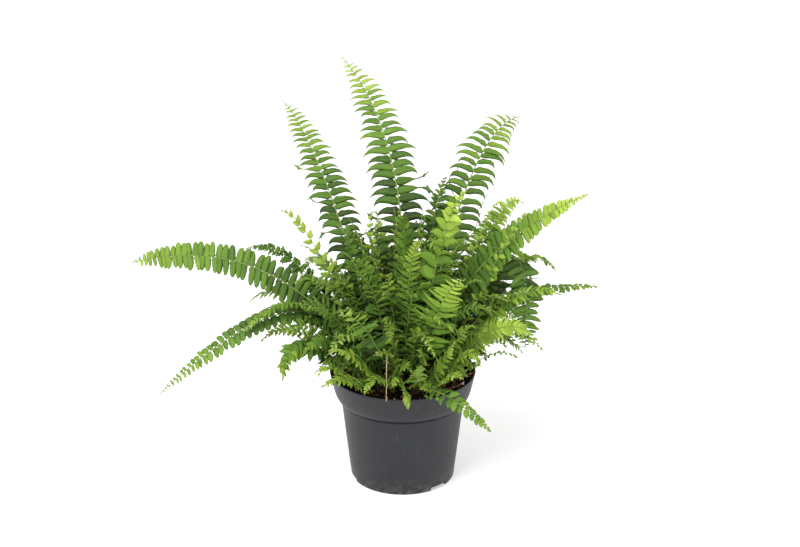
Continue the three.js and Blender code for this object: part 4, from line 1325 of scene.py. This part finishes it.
def ring_of(sheet, shape, count, circle, first):
    """Copies of a shape round the pot's axis, the first at an angle in degrees."""
    turn = sheet.times_plus(sheet.out("GeometryNodeInputIndex"),
                            sheet.math("DIVIDE", math.tau, count), math.radians(first))
    turned = sheet.out("FunctionNodeAxisAngleToRotation", {"Axis": (0, 0, 1), "Angle": turn})
    spot = sheet.out("FunctionNodeRotateVector", {
        "Vector": sheet.join_axes(circle, 0.0, 0.0), "Rotation": turned})
    points = sheet.out("GeometryNodePoints", {"Count": count, "Position": spot})
    return sheet.realize(sheet.out("GeometryNodeInstanceOnPoints", {
        "Points": points, "Instance": shape, "Rotation": turned}))


def pot_sheet():
    """The tree that cuts the notches, their slots and the drain holes into the pot."""
    sheet = GeometrySheet("Pot openings", {
        "Notch Count": "Int", "Notch Size": "Vector", "Notch Circle": "Float",
        "Slot Size": "Vector", "Slot Circle": "Float", "Drain Count": "Int",
        "Drain Radius": "Float", "Drain Circle": "Float", "Finish": "Material"})
    inputs = sheet.inputs
    notch = sheet.out("GeometryNodeMeshCube", {"Size": inputs["Notch Size"]})
    slot = sheet.out("GeometryNodeMeshCube", {"Size": inputs["Slot Size"]})
    drain = sheet.out("GeometryNodeMeshCylinder", {
        "Vertices": DRAIN_SIDES, "Radius": inputs["Drain Radius"], "Depth": DRAIN_DEPTH * MM})
    cuts = (
        ring_of(sheet, notch, inputs["Notch Count"], inputs["Notch Circle"], NOTCH_FIRST),
        ring_of(sheet, slot, inputs["Notch Count"], inputs["Slot Circle"], NOTCH_FIRST),
        ring_of(sheet, drain, inputs["Drain Count"], inputs["Drain Circle"], DRAIN_FIRST),
    )
    pot = inputs["Geometry"]
    for cut in cuts:
        pot = sheet.out("GeometryNodeMeshBoolean", {"Mesh 1": pot, "Mesh 2": cut},
                        operation="DIFFERENCE", solver="MANIFOLD")
    sheet.finish(sheet.paint(pot, inputs["Finish"]))
    return sheet


class FERN_OT_pot(bpy.types.Operator):
    """Turn the pot and cut its foot notches and drain holes"""
    bl_idname = "fern.pot"
    bl_label = "Make Pot"
    bl_options = {"REGISTER", "UNDO"}

    def execute(self, context):
        sizes = context.scene.fern_pot
        outline = pot_outline(sizes.height, sizes.rim_radius, sizes.wall / MM)
        pot = new_object("grower_pot", lathe_mesh("grower_pot", outline, sizes.sides))
        sheet = pot_sheet()
        sheet.put_on(pot, {
            "Notch Count": NOTCH_COUNT,
            "Notch Size": Vector(NOTCH_SIZE) * MM,
            "Notch Circle": BASE_RADIUS * MM,
            "Slot Size": Vector(SLOT_SIZE) * MM,
            "Slot Circle": (FOOT_INSIDE + SLOT_OVERLAP - SLOT_SIZE[0] / 2) * MM,
            "Drain Count": DRAIN_COUNT,
            "Drain Radius": DRAIN_RADIUS * MM,
            "Drain Circle": DRAIN_CIRCLE * MM,
            "Finish": plastic_finish("pot_skin", sizes.colour),
        })
        bake_modifiers([pot])
        bpy.data.node_groups.remove(sheet.group)
        if len(pot.data.polygons) < sizes.sides:
            raise RuntimeError("the pot's openings could not be cut")
        pot.data.shade_smooth()
        pot.data.set_sharp_from_angle(angle=math.radians(CREASE_ANGLE))
        settle(pot, "pot_plastic", "pot")
        return {"FINISHED"}


# Soil

# The surface's rings and sectors, and the power that crowds the rings towards the wall. Then, in
# millimetres, the room at the wall, what the soil is narrower by at the floor, and how far the
# litter keeps from the edge.
SOIL_RINGS = 30
SOIL_SECTORS = 96
RING_SPREAD = 0.8
SOIL_CLEARANCE = 0.3
FLOOR_EASE = 1.5
LITTER_MARGIN = 3.5
BED_COLOURS = ((0.25, "0a0605"), (0.5, "160d09"), (0.75, "261710"))

# Swells, lumps and grit of the surface: how many to a metre, their layer of noise, and their
# height as a share of the soil's unevenness.
SOIL_WAVES = [(45, 1.5, 0.7), (150, 7.5, 0.6), (520, 3.5, 0.35)]

# What lies on the soil: its shape, least and greatest size in metres, how far it tilts, how high
# it lies as a share of its size, and its material with that material's grain and colours.
LITTER = {
    "soil_crumbs": dict(
        shape="crumb", least=0.0012, greatest=0.0042, tilt=math.pi, lift=0.1, finish="soil_crumb",
        grain=0.004, colours=((0.3, "0e0806"), (0.55, "1e120c"), (0.8, "3d2617"))),
    "bark_chips": dict(
        shape="chip", least=0.0028, greatest=0.0075, tilt=0.5, lift=0.15, finish="bark",
        grain=0.003, colours=((0.25, "30180f"), (0.5, "643726"), (0.75, "a87a62"))),
    "pale_grains": dict(
        shape="crumb", least=0.001, greatest=0.0024, tilt=math.pi, lift=0.4, finish="pale_grain",
        grain=0.002, colours=((0.3, "a8906f"), (0.7, "ddd0bd"))),
    "dry_fibres": dict(
        shape="fibre", least=0.006, greatest=0.018, tilt=0.35, lift=0.06, finish="dry_fibre",
        grain=0.003, colours=((0.3, "6b4a2c"), (0.7, "b5926a"))),
}
GRAINS_PER_CHIP = 0.6
SHAPES_OF_EACH = 5
PICK_RANGE = 99.0
SQUARE_CENTIMETRES = 1e4

# Lumps: length, width and height, how uneven they are, how round, how fine the noise is, and the
# places in it for each seed and each axis.
CRUMB = dict(shape=(1, 0.85, 0.75), uneven=0.22)
CHIP = dict(shape=(1, 0.45, 0.2), uneven=0.3)
CHIP_SEED = 20
LUMP_ROUNDNESS = 0.6
LUMP_NOISE = 2.6
LUMP_SHIFT = (3.7, 1.3)
LUMP_LAYERS = (0, 20, 40)

# Fibres: thickness, taper, steps and sides, how far they kink and bow, and how much more the next
# one bows.
FIBRE_THICK = 0.02
FIBRE_TAPER = 0.6
FIBRE_STEPS = 6
FIBRE_SIDES = 3
FIBRE_KINK = 0.25
FIBRE_BOW = 0.1
FIBRE_BOW_STEP = 0.12


def soil_radius(level, wall):
    """Radius of the soil at its surface, just inside the wall."""
    bend_radius, bend_height = OUTSIDE[-1][:2]
    climb = (level / MM - bend_height) / (POT_HEIGHT - bend_height)
    return (bend_radius + climb * (RIM_RADIUS - bend_radius) - wall / MM - SOIL_CLEARANCE) * MM


def soil_height(x, y, level, rough):
    """Height of the uneven surface: low swells, lumps and grit."""
    return level + rough * sum(
        height * noise.noise(Vector((x * pace, y * pace, layer)))
        for pace, layer, height in SOIL_WAVES)


def soil_grid(radius, level, rough):
    """Points and faces of the surface out to a radius, and its outermost ring."""
    points = [(0, 0, soil_height(0, 0, level, rough))]
    rings = []
    for i in range(1, SOIL_RINGS + 1):
        reach = radius * (i / SOIL_RINGS) ** RING_SPREAD
        rings.append(list(range(len(points), len(points) + SOIL_SECTORS)))
        for k in range(SOIL_SECTORS):
            angle = math.tau * (k + 0.5 * (i % 2)) / SOIL_SECTORS
            x, y = reach * math.cos(angle), reach * math.sin(angle)
            points.append((x, y, soil_height(x, y, level, rough)))
    faces = []
    for k in range(SOIL_SECTORS):
        n = (k + 1) % SOIL_SECTORS
        faces.append((0, rings[0][k], rings[0][n]))
        for near, far in zip(rings, rings[1:]):
            faces.append((near[k], far[k], far[n], near[n]))
    return points, faces, rings[-1]


def soil_mesh(level, rough, wall):
    """The whole filling: the uneven surface, its side along the wall and its bottom."""
    points, faces, ring = soil_grid(soil_radius(level, wall), level, rough)
    gap = wall / MM + SOIL_CLEARANCE
    side = [(r - gap, z - INSIDE_DROP) for r, z, _ in reversed(OUTSIDE)]
    side.append((BASE_RADIUS - gap - FLOOR_EASE, FLOOR_TOP + SOIL_CLEARANCE))
    for radius, height in side:
        lower = list(range(len(points), len(points) + SOIL_SECTORS))
        for k in ring:
            spoke = Vector(points[k][:2]).normalized() * radius * MM
            points.append((spoke.x, spoke.y, height * MM))
        for k in range(SOIL_SECTORS):
            n = (k + 1) % SOIL_SECTORS
            faces.append((ring[k], lower[k], lower[n], ring[n]))
        ring = lower
    faces.append(tuple(ring))
    return mesh_from("potting_soil", points, faces)


def lump_pattern(name, seed, shape, uneven):
    """A rough lump of two dozen faces, about one metre across before it is shaped."""
    lump = bmesh.new()
    bmesh.ops.create_cube(lump, size=1)
    bmesh.ops.subdivide_edges(lump, edges=lump.edges, cuts=1, use_grid_fill=True)
    for point in lump.verts:
        ball = point.co.normalized() / 2
        place = point.co.lerp(ball, LUMP_ROUNDNESS)
        shift = [seed * step for step in LUMP_SHIFT]
        push = Vector([noise.noise(place * LUMP_NOISE + Vector((*shift, layer)))
                       for layer in LUMP_LAYERS])
        point.co = (place + push * uneven) * Vector(shape)
    mesh = bpy.data.meshes.new(name)
    lump.to_mesh(mesh)
    lump.free()
    mesh.shade_smooth()
    return bpy.data.objects.new(name, mesh)


def fibre_pattern(name, seed, bow):
    """A thin bent fibre, one metre long, along +X."""
    kink = random.Random(seed).uniform(-FIBRE_KINK, FIBRE_KINK)
    points = []
    for i in range(FIBRE_STEPS + 1):
        along = i / FIBRE_STEPS
        middle = Vector((along, kink * math.sin(math.pi * along), bow * along * (1 - along)))
        width = FIBRE_THICK * (1 - FIBRE_TAPER * along)
        for k in range(FIBRE_SIDES):
            angle = math.tau * k / FIBRE_SIDES
            points.append(middle + Vector((0, math.cos(angle), math.sin(angle))) * width)
    last = FIBRE_STEPS * FIBRE_SIDES
    faces = [range(FIBRE_SIDES), range(last, last + FIBRE_SIDES)]
    for foot in range(0, last, FIBRE_SIDES):
        for k in range(FIBRE_SIDES):
            n = (k + 1) % FIBRE_SIDES
            faces.append((foot + k, foot + n, foot + FIBRE_SIDES + n, foot + FIBRE_SIDES + k))
    return bpy.data.objects.new(name, mesh_from(name, points, faces))


def litter_shapes():
    """Collections of the shapes that lie on the soil."""
    numbers = range(SHAPES_OF_EACH)
    return {
        "crumb": pattern_group("patterns_crumb", [
            lump_pattern(f"crumb_{i}", i, **CRUMB) for i in numbers]),
        "chip": pattern_group("patterns_chip", [
            lump_pattern(f"chip_{i}", i + CHIP_SEED, **CHIP) for i in numbers]),
        "fibre": pattern_group("patterns_fibre", [
            fibre_pattern(f"fibre_{i}", i, FIBRE_BOW + FIBRE_BOW_STEP * i) for i in numbers]),
    }


def litter_sheet():
    """The tree that scatters patterns over a surface."""
    sheet = GeometrySheet("Soil litter", {
        "Density": "Float", "Least Size": "Float", "Greatest Size": "Float", "Tilt": "Float",
        "Lift": "Float", "Seed": "Int", "Patterns": "Collection", "Finish": "Material"})
    inputs = sheet.inputs
    spread = sheet.node("GeometryNodeDistributePointsOnFaces", {
        "Mesh": inputs["Geometry"], "Density": inputs["Density"], "Seed": inputs["Seed"]})
    share = sheet.power(sheet.random(1, 0.0, 1.0), 2.0)
    size = sheet.blend(share, inputs["Least Size"], inputs["Greatest Size"])
    tilt = [sheet.times(sheet.random(draw), inputs["Tilt"]) for draw in (2, 3)]
    spin = sheet.random(4, 0.0, math.tau)
    lean = sheet.out("FunctionNodeEulerToRotation", {"Euler": sheet.join_axes(*tilt, spin)})
    turned = sheet.out("FunctionNodeRotateRotation", {
        "Rotation": spread.outputs["Rotation"], "Rotate By": lean}, rotation_space="LOCAL")
    lift = sheet.join_axes(0.0, 0.0, sheet.times(size, inputs["Lift"]))
    points = sheet.out("GeometryNodeSetPosition", {
        "Geometry": spread.outputs["Points"], "Offset": lift})
    points = sheet.store(points, "tone", sheet.random(5))
    pick = sheet.math("FLOOR", sheet.random(6, 0.0, PICK_RANGE))
    litter = sheet.copies(points, turned, size, inputs["Patterns"], pick)
    sheet.finish(sheet.paint(litter, inputs["Finish"]))
    return sheet


class FERN_OT_soil(bpy.types.Operator):
    """Fill the pot with soil and strew crumbs, bark, pale grains and fibres over it"""
    bl_idname = "fern.soil"
    bl_label = "Make Soil"
    bl_options = {"REGISTER", "UNDO"}

    def execute(self, context):
        sizes = context.scene.fern_soil
        wall = context.scene.fern_pot.wall
        filling = new_object("potting_soil", soil_mesh(sizes.level, sizes.roughness, wall))
        filling.data.materials.append(earth_finish("soil_crumb_bed", *BED_COLOURS))
        settle(filling, "potting_soil", "soil")

        edge = soil_radius(sizes.level, wall) - LITTER_MARGIN * MM
        area = math.pi * edge ** 2
        density = {
            "soil_crumbs": sizes.crumbs * SQUARE_CENTIMETRES,
            "bark_chips": sizes.chips / area,
            "pale_grains": GRAINS_PER_CHIP * sizes.chips / area,
            "dry_fibres": sizes.fibres / area,
        }
        shapes = litter_shapes()
        sheet = litter_sheet()
        strewn = []
        for name, sort in LITTER.items():
            overhang = sort["greatest"] if sort["shape"] == "fibre" else sort["greatest"] / 2
            points, faces, _ = soil_grid(edge - overhang, sizes.level, sizes.roughness)
            made = new_object(name, mesh_from(name, points, faces))
            sheet.put_on(made, {
                "Density": density[name],
                "Least Size": sort["least"],
                "Greatest Size": sort["greatest"],
                "Tilt": sort["tilt"],
                "Lift": sort["lift"],
                "Seed": sizes.seed + len(strewn),
                "Patterns": shapes[sort["shape"]],
                "Finish": earth_finish(sort["finish"], *sort["colours"], size=sort["grain"]),
            })
            strewn.append(made)
        bake_modifiers(strewn)
        bpy.data.node_groups.remove(sheet.group)
        remove_patterns(*shapes.values())
        for made in strewn:
            settle(made, "potting_soil")
        return {"FINISHED"}


# Growing

LEAF_FINISHES = {
    "mature_leaf": dict(gloss=0.42, glow=0.14, bloom=0.05),
    "fresh_leaf": dict(gloss=0.46, glow=0.17, bloom=0.02),
    "new_leaf": dict(gloss=0.5, glow=0.28, bloom=0.02),
}
DEAD_COLOURS = {
    "dry_stalk": ((0.3, "a8966a"), (0.7, "dcd2a6")),
    "old_stub": ((0.3, "7a4a3c"), (0.7, "d3a796")),
}
DEAD_GRAIN = 0.002

# Steps between the seeds of fronds, wider than the number of draws that one frond takes.
FROND_SEED_STEP = 100
SMALL_SEED_STEP = 50


def finish_named(name, make, *values, **named_values):
    """A material that is made once and then used again."""
    return bpy.data.materials.get(name) or make(name, *values, **named_values)


def foliage_finishes(slot, dead):
    """The materials of a frond whose leaflets fill a slot of the record. dead names the dry
    matter that takes the place of the green, if the frond is dead."""
    if dead:
        leaf = rib = finish_named(dead, earth_finish, *DEAD_COLOURS[dead], size=DEAD_GRAIN)
    else:
        leaf = finish_named(slot + "_blade", leaf_finish, **LEAF_FINISHES[slot])
        rib = finish_named("rib_skin", rib_finish)
    return {"Leaf Finish": leaf, "Rib Finish": rib,
            "Scale Finish": finish_named("stalk_scale", scale_finish)}


def frond_inputs(own, ends, facing, shared):
    """Values for the frond tree from a frond's own values, its rib's ends and its facing."""
    start, control, tip = ends
    power, curve = own["taper"]
    return {
        "Start": start,
        "Control": control,
        "Tip": tip,
        "Facing": Vector(facing),
        "Root Depth": shared.root_depth,
        "Rib Width": own["rib"] * MM,
        "Rib Tip Width": shared.rib_tip,
        "Pairs": own["pairs"],
        "Bare Share": own["bare"],
        "Leaflet Length": own["leaflet"] * MM,
        "Level": own["level"],
        "Taper Power": power,
        "Taper Curve": curve,
        "Sweep": math.radians(own["sweep"]),
        "Droop": own["droop"],
        "Unevenness": own["uneven"],
        "Freshness": own["fresh"],
        "Freshness Gain": own["gain"],
        "Wisp Share": own["wisps"],
        "Wisp Lean": own["wisp_lean"],
        "Tip Widening": own["widen"],
        "Scale Count": shared.scales,
    }


def grow(rows, slot, shared):
    """Grow fronds as plain meshes. A row is a frond's name, its values, its rib's ends, its
    facing and its seed."""
    sheet = frond_sheet()
    flakes = pattern_group("patterns_scale", [scale_pattern()])
    patterns = {}
    grown = []
    for name, values, ends, facing, seed in rows:
        style = values["style"]
        own = {**PLAIN, "widen": style_named(style)["widen"], **values}
        if style not in patterns:
            patterns[style] = leaflet_patterns(style, own["leaflet"] * MM, shared.blade)
        made = new_object(name, bpy.data.meshes.new(name))
        sheet.put_on(made, {
            **frond_inputs(own, ends, facing, shared),
            **foliage_finishes(slot, own["dead"]),
            "Seed": seed + own["reroll"],
            "Leaflets": patterns[style],
            "Scale": flakes.objects[0],
        })
        grown.append(made)
    bake_modifiers(grown)
    bpy.data.node_groups.remove(sheet.group)
    remove_patterns(flakes, *patterns.values())
    return grown


class FERN_OT_fronds(bpy.types.Operator):
    """Grow all the fronds of one kind, each in place of its plain solid"""
    bl_idname = "fern.fronds"
    bl_label = "Grow Fronds"
    bl_options = {"REGISTER", "UNDO"}

    kind: bpy.props.EnumProperty(
        name="Kind", description="Which fronds to grow",
        items=[(key, key.capitalize(), f"The {key} fronds") for key in KINDS])

    def execute(self, context):
        shared = context.scene.fern_foliage
        soil_line = context.scene.fern_soil.level
        slot = KINDS[self.kind]["slot"]
        names = []
        rows = []
        for number, (name, kind, base, middle, tip, facing) in enumerate(FRONDS):
            if kind == self.kind:
                names.append(name)
                rows.append((
                    name + "_frond", {**KINDS[kind], **OWN.get(name, {})},
                    rib_points(base, middle, tip, soil_line), facing,
                    shared.seed + FROND_SEED_STEP * number))
        for name, made in zip(names, grow(rows, slot, shared)):
            settle(made, slot, "frond_" + name)
        return {"FINISHED"}


# Undergrowth

# Sorts of small frond, with the same values as a kind: those of the crown and those of the rim.
# The crown's second and third sorts have darker greens: partly the own colour of older fronds and
# partly painted shade for the shaded inside of the crowd.
CROWN_KINDS = [
    dict(pairs=15, leaflet=11, level=0.1, rib=1.0, bare=0.16, sweep=16, droop=0.4, uneven=0.45,
         fresh=0.28, gain=0.6, wisps=0.05, style="ruffled"),
    dict(pairs=18, leaflet=13, level=0.1, rib=1.1, bare=0.18, sweep=18, droop=0.45, uneven=0.3,
         fresh=0.12, gain=0.55, wisps=0.03, style="soft"),
    dict(pairs=14, leaflet=12, level=0.1, rib=1.0, bare=0.12, sweep=12, droop=0.4, uneven=0.5,
         fresh=-0.05, gain=0.45, style="ruffled"),
]
RIM_KINDS = [
    dict(pairs=13, leaflet=10, level=0.1, rib=0.9, bare=0.1, sweep=20, droop=0.3, uneven=0.5,
         fresh=0.5, gain=0.4, style="ruffled"),
    dict(pairs=14, leaflet=9, rib=0.9, bare=0.1, sweep=22, droop=0.3, uneven=0.45, fresh=0.3,
         gain=0.4, style="ruffled"),
]
DRY_STALK = dict(pairs=6, leaflet=2.4, taper=(4, 0.5), rib=1.3, bare=0.3, sweep=40, droop=0.3,
                 uneven=0.8, fresh=0.0, gain=0.0, style="ruffled", dead="dry_stalk")
OLD_STUB = {**DRY_STALK, "pairs": 1, "rib": 2.6, "bare": 0.9, "dead": "old_stub"}
FLAT_FROND = dict(pairs=28, leaflet=11, taper=(3, 0.5), rib=1.2, bare=0.3, sweep=10, droop=0.2,
                  uneven=0.1, fresh=0.3, gain=0.35, style="toothed")

# What has a place of its own: its sort, where it stands in the soil, the middle, the tip and the
# way that the upper side faces.
PLACED = [
    (DRY_STALK, (-9, -22), (-12, -52, 132), (-13, -61, 94.5), (0, -1, 0.5)),
    (OLD_STUB, (36, -26), (42, -31, 92.5), (48, -34, 97), (0, -1, 0.5)),
    (OLD_STUB, (31, -22), (36, -28, 97), (41, -35, 99), (0, -1, 0.5)),
    (OLD_STUB, (45, -10), (51, -12, 94), (58, -15, 98), (0, -1, 0.5)),
    (OLD_STUB, (26, -36), (30, -42, 93), (32, -49, 97), (0, -1, 0.5)),
    (FLAT_FROND, (-30, -8), (-77, -32, 163), (-126, -50, 148), (0, 0.15, 1)),
]
SECTORS = ("right", "back", "left", "front")
GOLDEN_ANGLE = math.pi * (3 - math.sqrt(5))

# The bend of a small frond, in metres where it is a length: how far the tip and the middle stray
# aside, where along the rib the middle is and how far back it lies as a share of the reach.
TIP_STRAY = 0.012
MIDDLE_STRAY = 0.008
MIDDLE_SHARE = 0.55
MIDDLE_SETBACK = 0.08

# Its facing: how far out, aside and up.
FACING_OUT = (0.4, 1)
FACING_ASIDE = (-0.4, 0.4)
FACING_UP = 0.8

# The crown: how far the angles stray, the reach of the innermost tips as a share of the outermost,
# the powers by which the tips spread out and come down towards the rim, how reach and height
# stray, how far out the stalks stand as a share of the reach, and the arch of the innermost
# fronds and what the outermost have more.
CROWN_TURN = 0.2
CROWN_INNER = 0.1
CROWN_SPREAD = 0.6
CROWN_FALL = 1.3
CROWN_REACH = (0.82, 1.0)
CROWN_HEIGHT = (-0.016, 0.012)
CROWN_FOOT = 0.36
CROWN_ARCH = 0.014
CROWN_ARCH_GAIN = 0.016

# The rim: how far the angles stray as a share of their step, then the reach, the height and the
# stalks' distance from the middle, each from the least to the most, and the arch. Low fronds and
# high ones take turns.
RIM_TURN = 0.4
RIM_REACH = {"low": (0.058, 0.074), "high": (0.066, 0.086)}
RIM_HEIGHT = {"low": (0.1, 0.112), "high": (0.118, 0.138)}
RIM_FOOT = (0.024, 0.04)
RIM_ARCH = 0.01

# The sides: how far the angles stray, factors on the crowd's reach, what is added to the skirt's
# height, the arch, and how much higher the fronds on the right are.
SIDE_TURN = math.radians(35)
SIDE_REACH = (0.85, 1.15)
SIDE_HEIGHT = (-0.028, 0.03)
SIDE_ARCH = 0.022
RIGHT_LIFT = 0.02


def small_frond(draw, angle, foot, reach, height, arch, soil_line, stretch=1):
    """The ends of a small frond's rib, bent over and a little to the side, and its facing."""
    away = Vector((math.cos(angle), math.sin(angle), 0))
    aside = Vector((-away.y, away.x, 0))
    up = Vector((0, 0, 1))
    start = away * foot + up * soil_line
    tip = away * reach + aside * draw.uniform(-TIP_STRAY, TIP_STRAY) + up * height
    tip.x *= stretch
    middle = start.lerp(tip, MIDDLE_SHARE) - away * reach * MIDDLE_SETBACK + up * arch
    middle += aside * draw.uniform(-MIDDLE_STRAY, MIDDLE_STRAY)
    control = middle * 2 - (start + tip) / 2
    facing = away * draw.uniform(*FACING_OUT) + aside * draw.uniform(*FACING_ASIDE)
    facing += up * FACING_UP
    return (start, control, tip), facing


def crown_fronds(settings, soil_line):
    """Tips spread evenly under a dome. Gives the angle, the sort, the rib's ends, the facing."""
    draw = random.Random(settings.seed)
    for i in range(settings.count):
        share = (i + 0.5) / settings.count
        angle = i * GOLDEN_ANGLE + draw.uniform(-CROWN_TURN, CROWN_TURN)
        spread = CROWN_INNER + (1 - CROWN_INNER) * share ** CROWN_SPREAD
        reach = settings.reach * spread * draw.uniform(*CROWN_REACH)
        height = settings.crest + (settings.skirt - settings.crest) * share ** CROWN_FALL
        height += draw.uniform(*CROWN_HEIGHT)
        arch = CROWN_ARCH + CROWN_ARCH_GAIN * share
        yield angle, CROWN_KINDS[i % len(CROWN_KINDS)], *small_frond(
            draw, angle, reach * CROWN_FOOT, reach, height, arch, soil_line, settings.stretch)


def rim_fronds(settings, soil_line):
    """Short fronds round the rim, by turns high and low."""
    draw = random.Random(settings.seed + 1)
    for i in range(settings.rim_count):
        angle = math.tau * (i + draw.uniform(-RIM_TURN, RIM_TURN)) / settings.rim_count
        row = "low" if i % 2 else "high"
        reach = draw.uniform(*RIM_REACH[row])
        height = draw.uniform(*RIM_HEIGHT[row])
        foot = draw.uniform(*RIM_FOOT)
        yield angle, RIM_KINDS[i // 2 % len(RIM_KINDS)], *small_frond(
            draw, angle, foot, reach, height, RIM_ARCH, soil_line)


def side_fronds(settings, soil_line):
    """More small fronds to the right and the left, which make the crowd wide and low."""
    draw = random.Random(settings.seed + 2)
    for i in range(settings.side_count):
        on_left = i % 2
        angle = draw.uniform(-SIDE_TURN, SIDE_TURN) + math.pi * on_left
        reach = settings.reach * draw.uniform(*SIDE_REACH)
        height = settings.skirt + draw.uniform(*SIDE_HEIGHT) + (0 if on_left else RIGHT_LIFT)
        yield angle, CROWN_KINDS[i // 2 % len(CROWN_KINDS)], *small_frond(
            draw, angle, reach * CROWN_FOOT, reach, height, SIDE_ARCH, soil_line)


def placed_fronds(soil_line):
    """The dry stalk, the old stubs and the flat frond, which have places of their own."""
    for sort, base, middle, tip, facing in PLACED:
        yield (math.atan2(base[1], base[0]), sort, rib_points(base, middle, tip, soil_line),
               facing)


class FERN_OT_undergrowth(bpy.types.Operator):
    """Grow the crowd of small fronds and join them by the side that they stand on"""
    bl_idname = "fern.undergrowth"
    bl_label = "Grow Undergrowth"
    bl_options = {"REGISTER", "UNDO"}

    def execute(self, context):
        settings = context.scene.fern_undergrowth
        soil_line = context.scene.fern_soil.level
        small = [*crown_fronds(settings, soil_line), *rim_fronds(settings, soil_line),
                 *side_fronds(settings, soil_line), *placed_fronds(soil_line)]
        rows = [(f"small_frond_{i}", sort, ends, facing, settings.seed + SMALL_SEED_STEP * i)
                for i, (_, sort, ends, facing) in enumerate(small)]
        parts = {sector: [] for sector in SECTORS}
        for (angle, *_), made in zip(small, grow(rows, "fresh_leaf", context.scene.fern_foliage)):
            quarter = math.floor(angle / (math.pi / 2) + 0.5) % len(SECTORS)
            parts[SECTORS[quarter]].append(made)
        for sector, group in parts.items():
            settle(join_objects("undergrowth_" + sector, group), "fresh_leaf")
        return {"FINISHED"}


# Stage

CAMERA_PLACE = (-0.0022, -1.5, 0.768)
CAMERA_PITCH = 21.455
SENSOR_WIDTH = 36
NEAREST_SEEN = 0.05
FLOOR_REACH = 6
KEY_PLACE = (-0.9, -1.1, 1.9)
KEY_WIDTH = 1.4
FILL_PLACE = (1.5, -0.9, 1.0)
FILL_WIDTH = 1.2
LIGHT_AIM = (0, 0, 0.15)
WHITE = (1, 1, 1, 1)


def soft_light(name, place, size, power):
    """A square soft light that faces the middle of the plant."""
    lamp = bpy.data.lights.new(name, "AREA")
    lamp.shape = "SQUARE"
    lamp.size = size
    lamp.energy = power
    made = new_object(name, lamp)
    made.location = place
    made.rotation_euler = (Vector(LIGHT_AIM) - Vector(place)).to_track_quat("-Z", "Y").to_euler()


class FERN_OT_stage(bpy.types.Operator):
    """Lay a pale floor, light it softly and set the camera"""
    bl_idname = "fern.stage"
    bl_label = "Set Stage"
    bl_options = {"REGISTER", "UNDO"}

    def execute(self, context):
        stage = context.scene.fern_stage
        signs = ((-1, -1), (1, -1), (1, 1), (-1, 1))
        corners = [(x * FLOOR_REACH, y * FLOOR_REACH, 0) for x, y in signs]
        mesh = bpy.data.meshes.new("studio_floor")
        mesh.from_pydata(corners, [], [(0, 1, 2, 3)])
        floor = new_object("studio_floor", mesh)
        sheet = FinishSheet("pale_floor")
        floor.data.materials.append(sheet.finish(sheet.shader(
            Base_Color=tuple(stage.floor), Roughness=0.7, Specular_IOR_Level=0.2,
            Emission_Color=WHITE, Emission_Strength=stage.floor_glow)))

        world = bpy.data.worlds.new("studio_sky")
        world.use_nodes = True
        sky = world.node_tree.nodes["Background"].inputs
        sky["Color"].default_value = WHITE
        sky["Strength"].default_value = stage.sky
        context.scene.world = world

        soft_light("key_light", KEY_PLACE, KEY_WIDTH, stage.key)
        soft_light("fill_light", FILL_PLACE, FILL_WIDTH, stage.fill)

        lens = bpy.data.cameras.new("front_camera")
        lens.lens = stage.lens
        lens.sensor_width = SENSOR_WIDTH
        lens.clip_start = NEAREST_SEEN
        camera = new_object("front_camera", lens)
        camera.location = CAMERA_PLACE
        camera.rotation_euler = (math.radians(90 - CAMERA_PITCH), 0, 0)
        context.scene.camera = camera
        context.scene.view_settings.view_transform = "Standard"
        return {"FINISHED"}


# Panel

class FERN_PT_panel(bpy.types.Panel):
    """Settings and steps of the potted fern"""
    bl_label = "Potted Fern"
    bl_idname = "FERN_PT_panel"
    bl_space_type = "VIEW_3D"
    bl_region_type = "UI"
    bl_category = "Fern"

    def draw(self, context):
        for title, place, _, operator in STEPS:
            settings = getattr(context.scene, place)
            box = self.layout.box()
            box.label(text=title)
            for name in settings.__annotations__:
                box.prop(settings, name)
            box.operator(operator.bl_idname)


# Each step's title, the place of its settings in the scene, their group and its operator.
STEPS = (
    ("Pot", "fern_pot", FernPotSettings, FERN_OT_pot),
    ("Soil", "fern_soil", FernSoilSettings, FERN_OT_soil),
    ("Foliage", "fern_foliage", FernFoliageSettings, FERN_OT_fronds),
    ("Undergrowth", "fern_undergrowth", FernUndergrowthSettings, FERN_OT_undergrowth),
    ("Stage", "fern_stage", FernStageSettings, FERN_OT_stage),
)


def register():
    """Make the settings, the operators and the panel known."""
    for _, place, settings, operator in STEPS:
        bpy.utils.register_class(settings)
        bpy.utils.register_class(operator)
        setattr(bpy.types.Scene, place, PointerProperty(type=settings))
    bpy.utils.register_class(FERN_PT_panel)


def unregister():
    """Take them away again."""
    bpy.utils.unregister_class(FERN_PT_panel)
    for _, place, settings, operator in reversed(STEPS):
        delattr(bpy.types.Scene, place)
        bpy.utils.unregister_class(operator)
        bpy.utils.unregister_class(settings)


def main():
    """Build the plant and the stage."""
    register()
    bpy.ops.fern.stage()
    bpy.ops.fern.pot()
    bpy.ops.fern.soil()
    for kind in KINDS:
        bpy.ops.fern.fronds(kind=kind)
    bpy.ops.fern.undergrowth()


if __name__ == "__main__":
    main()
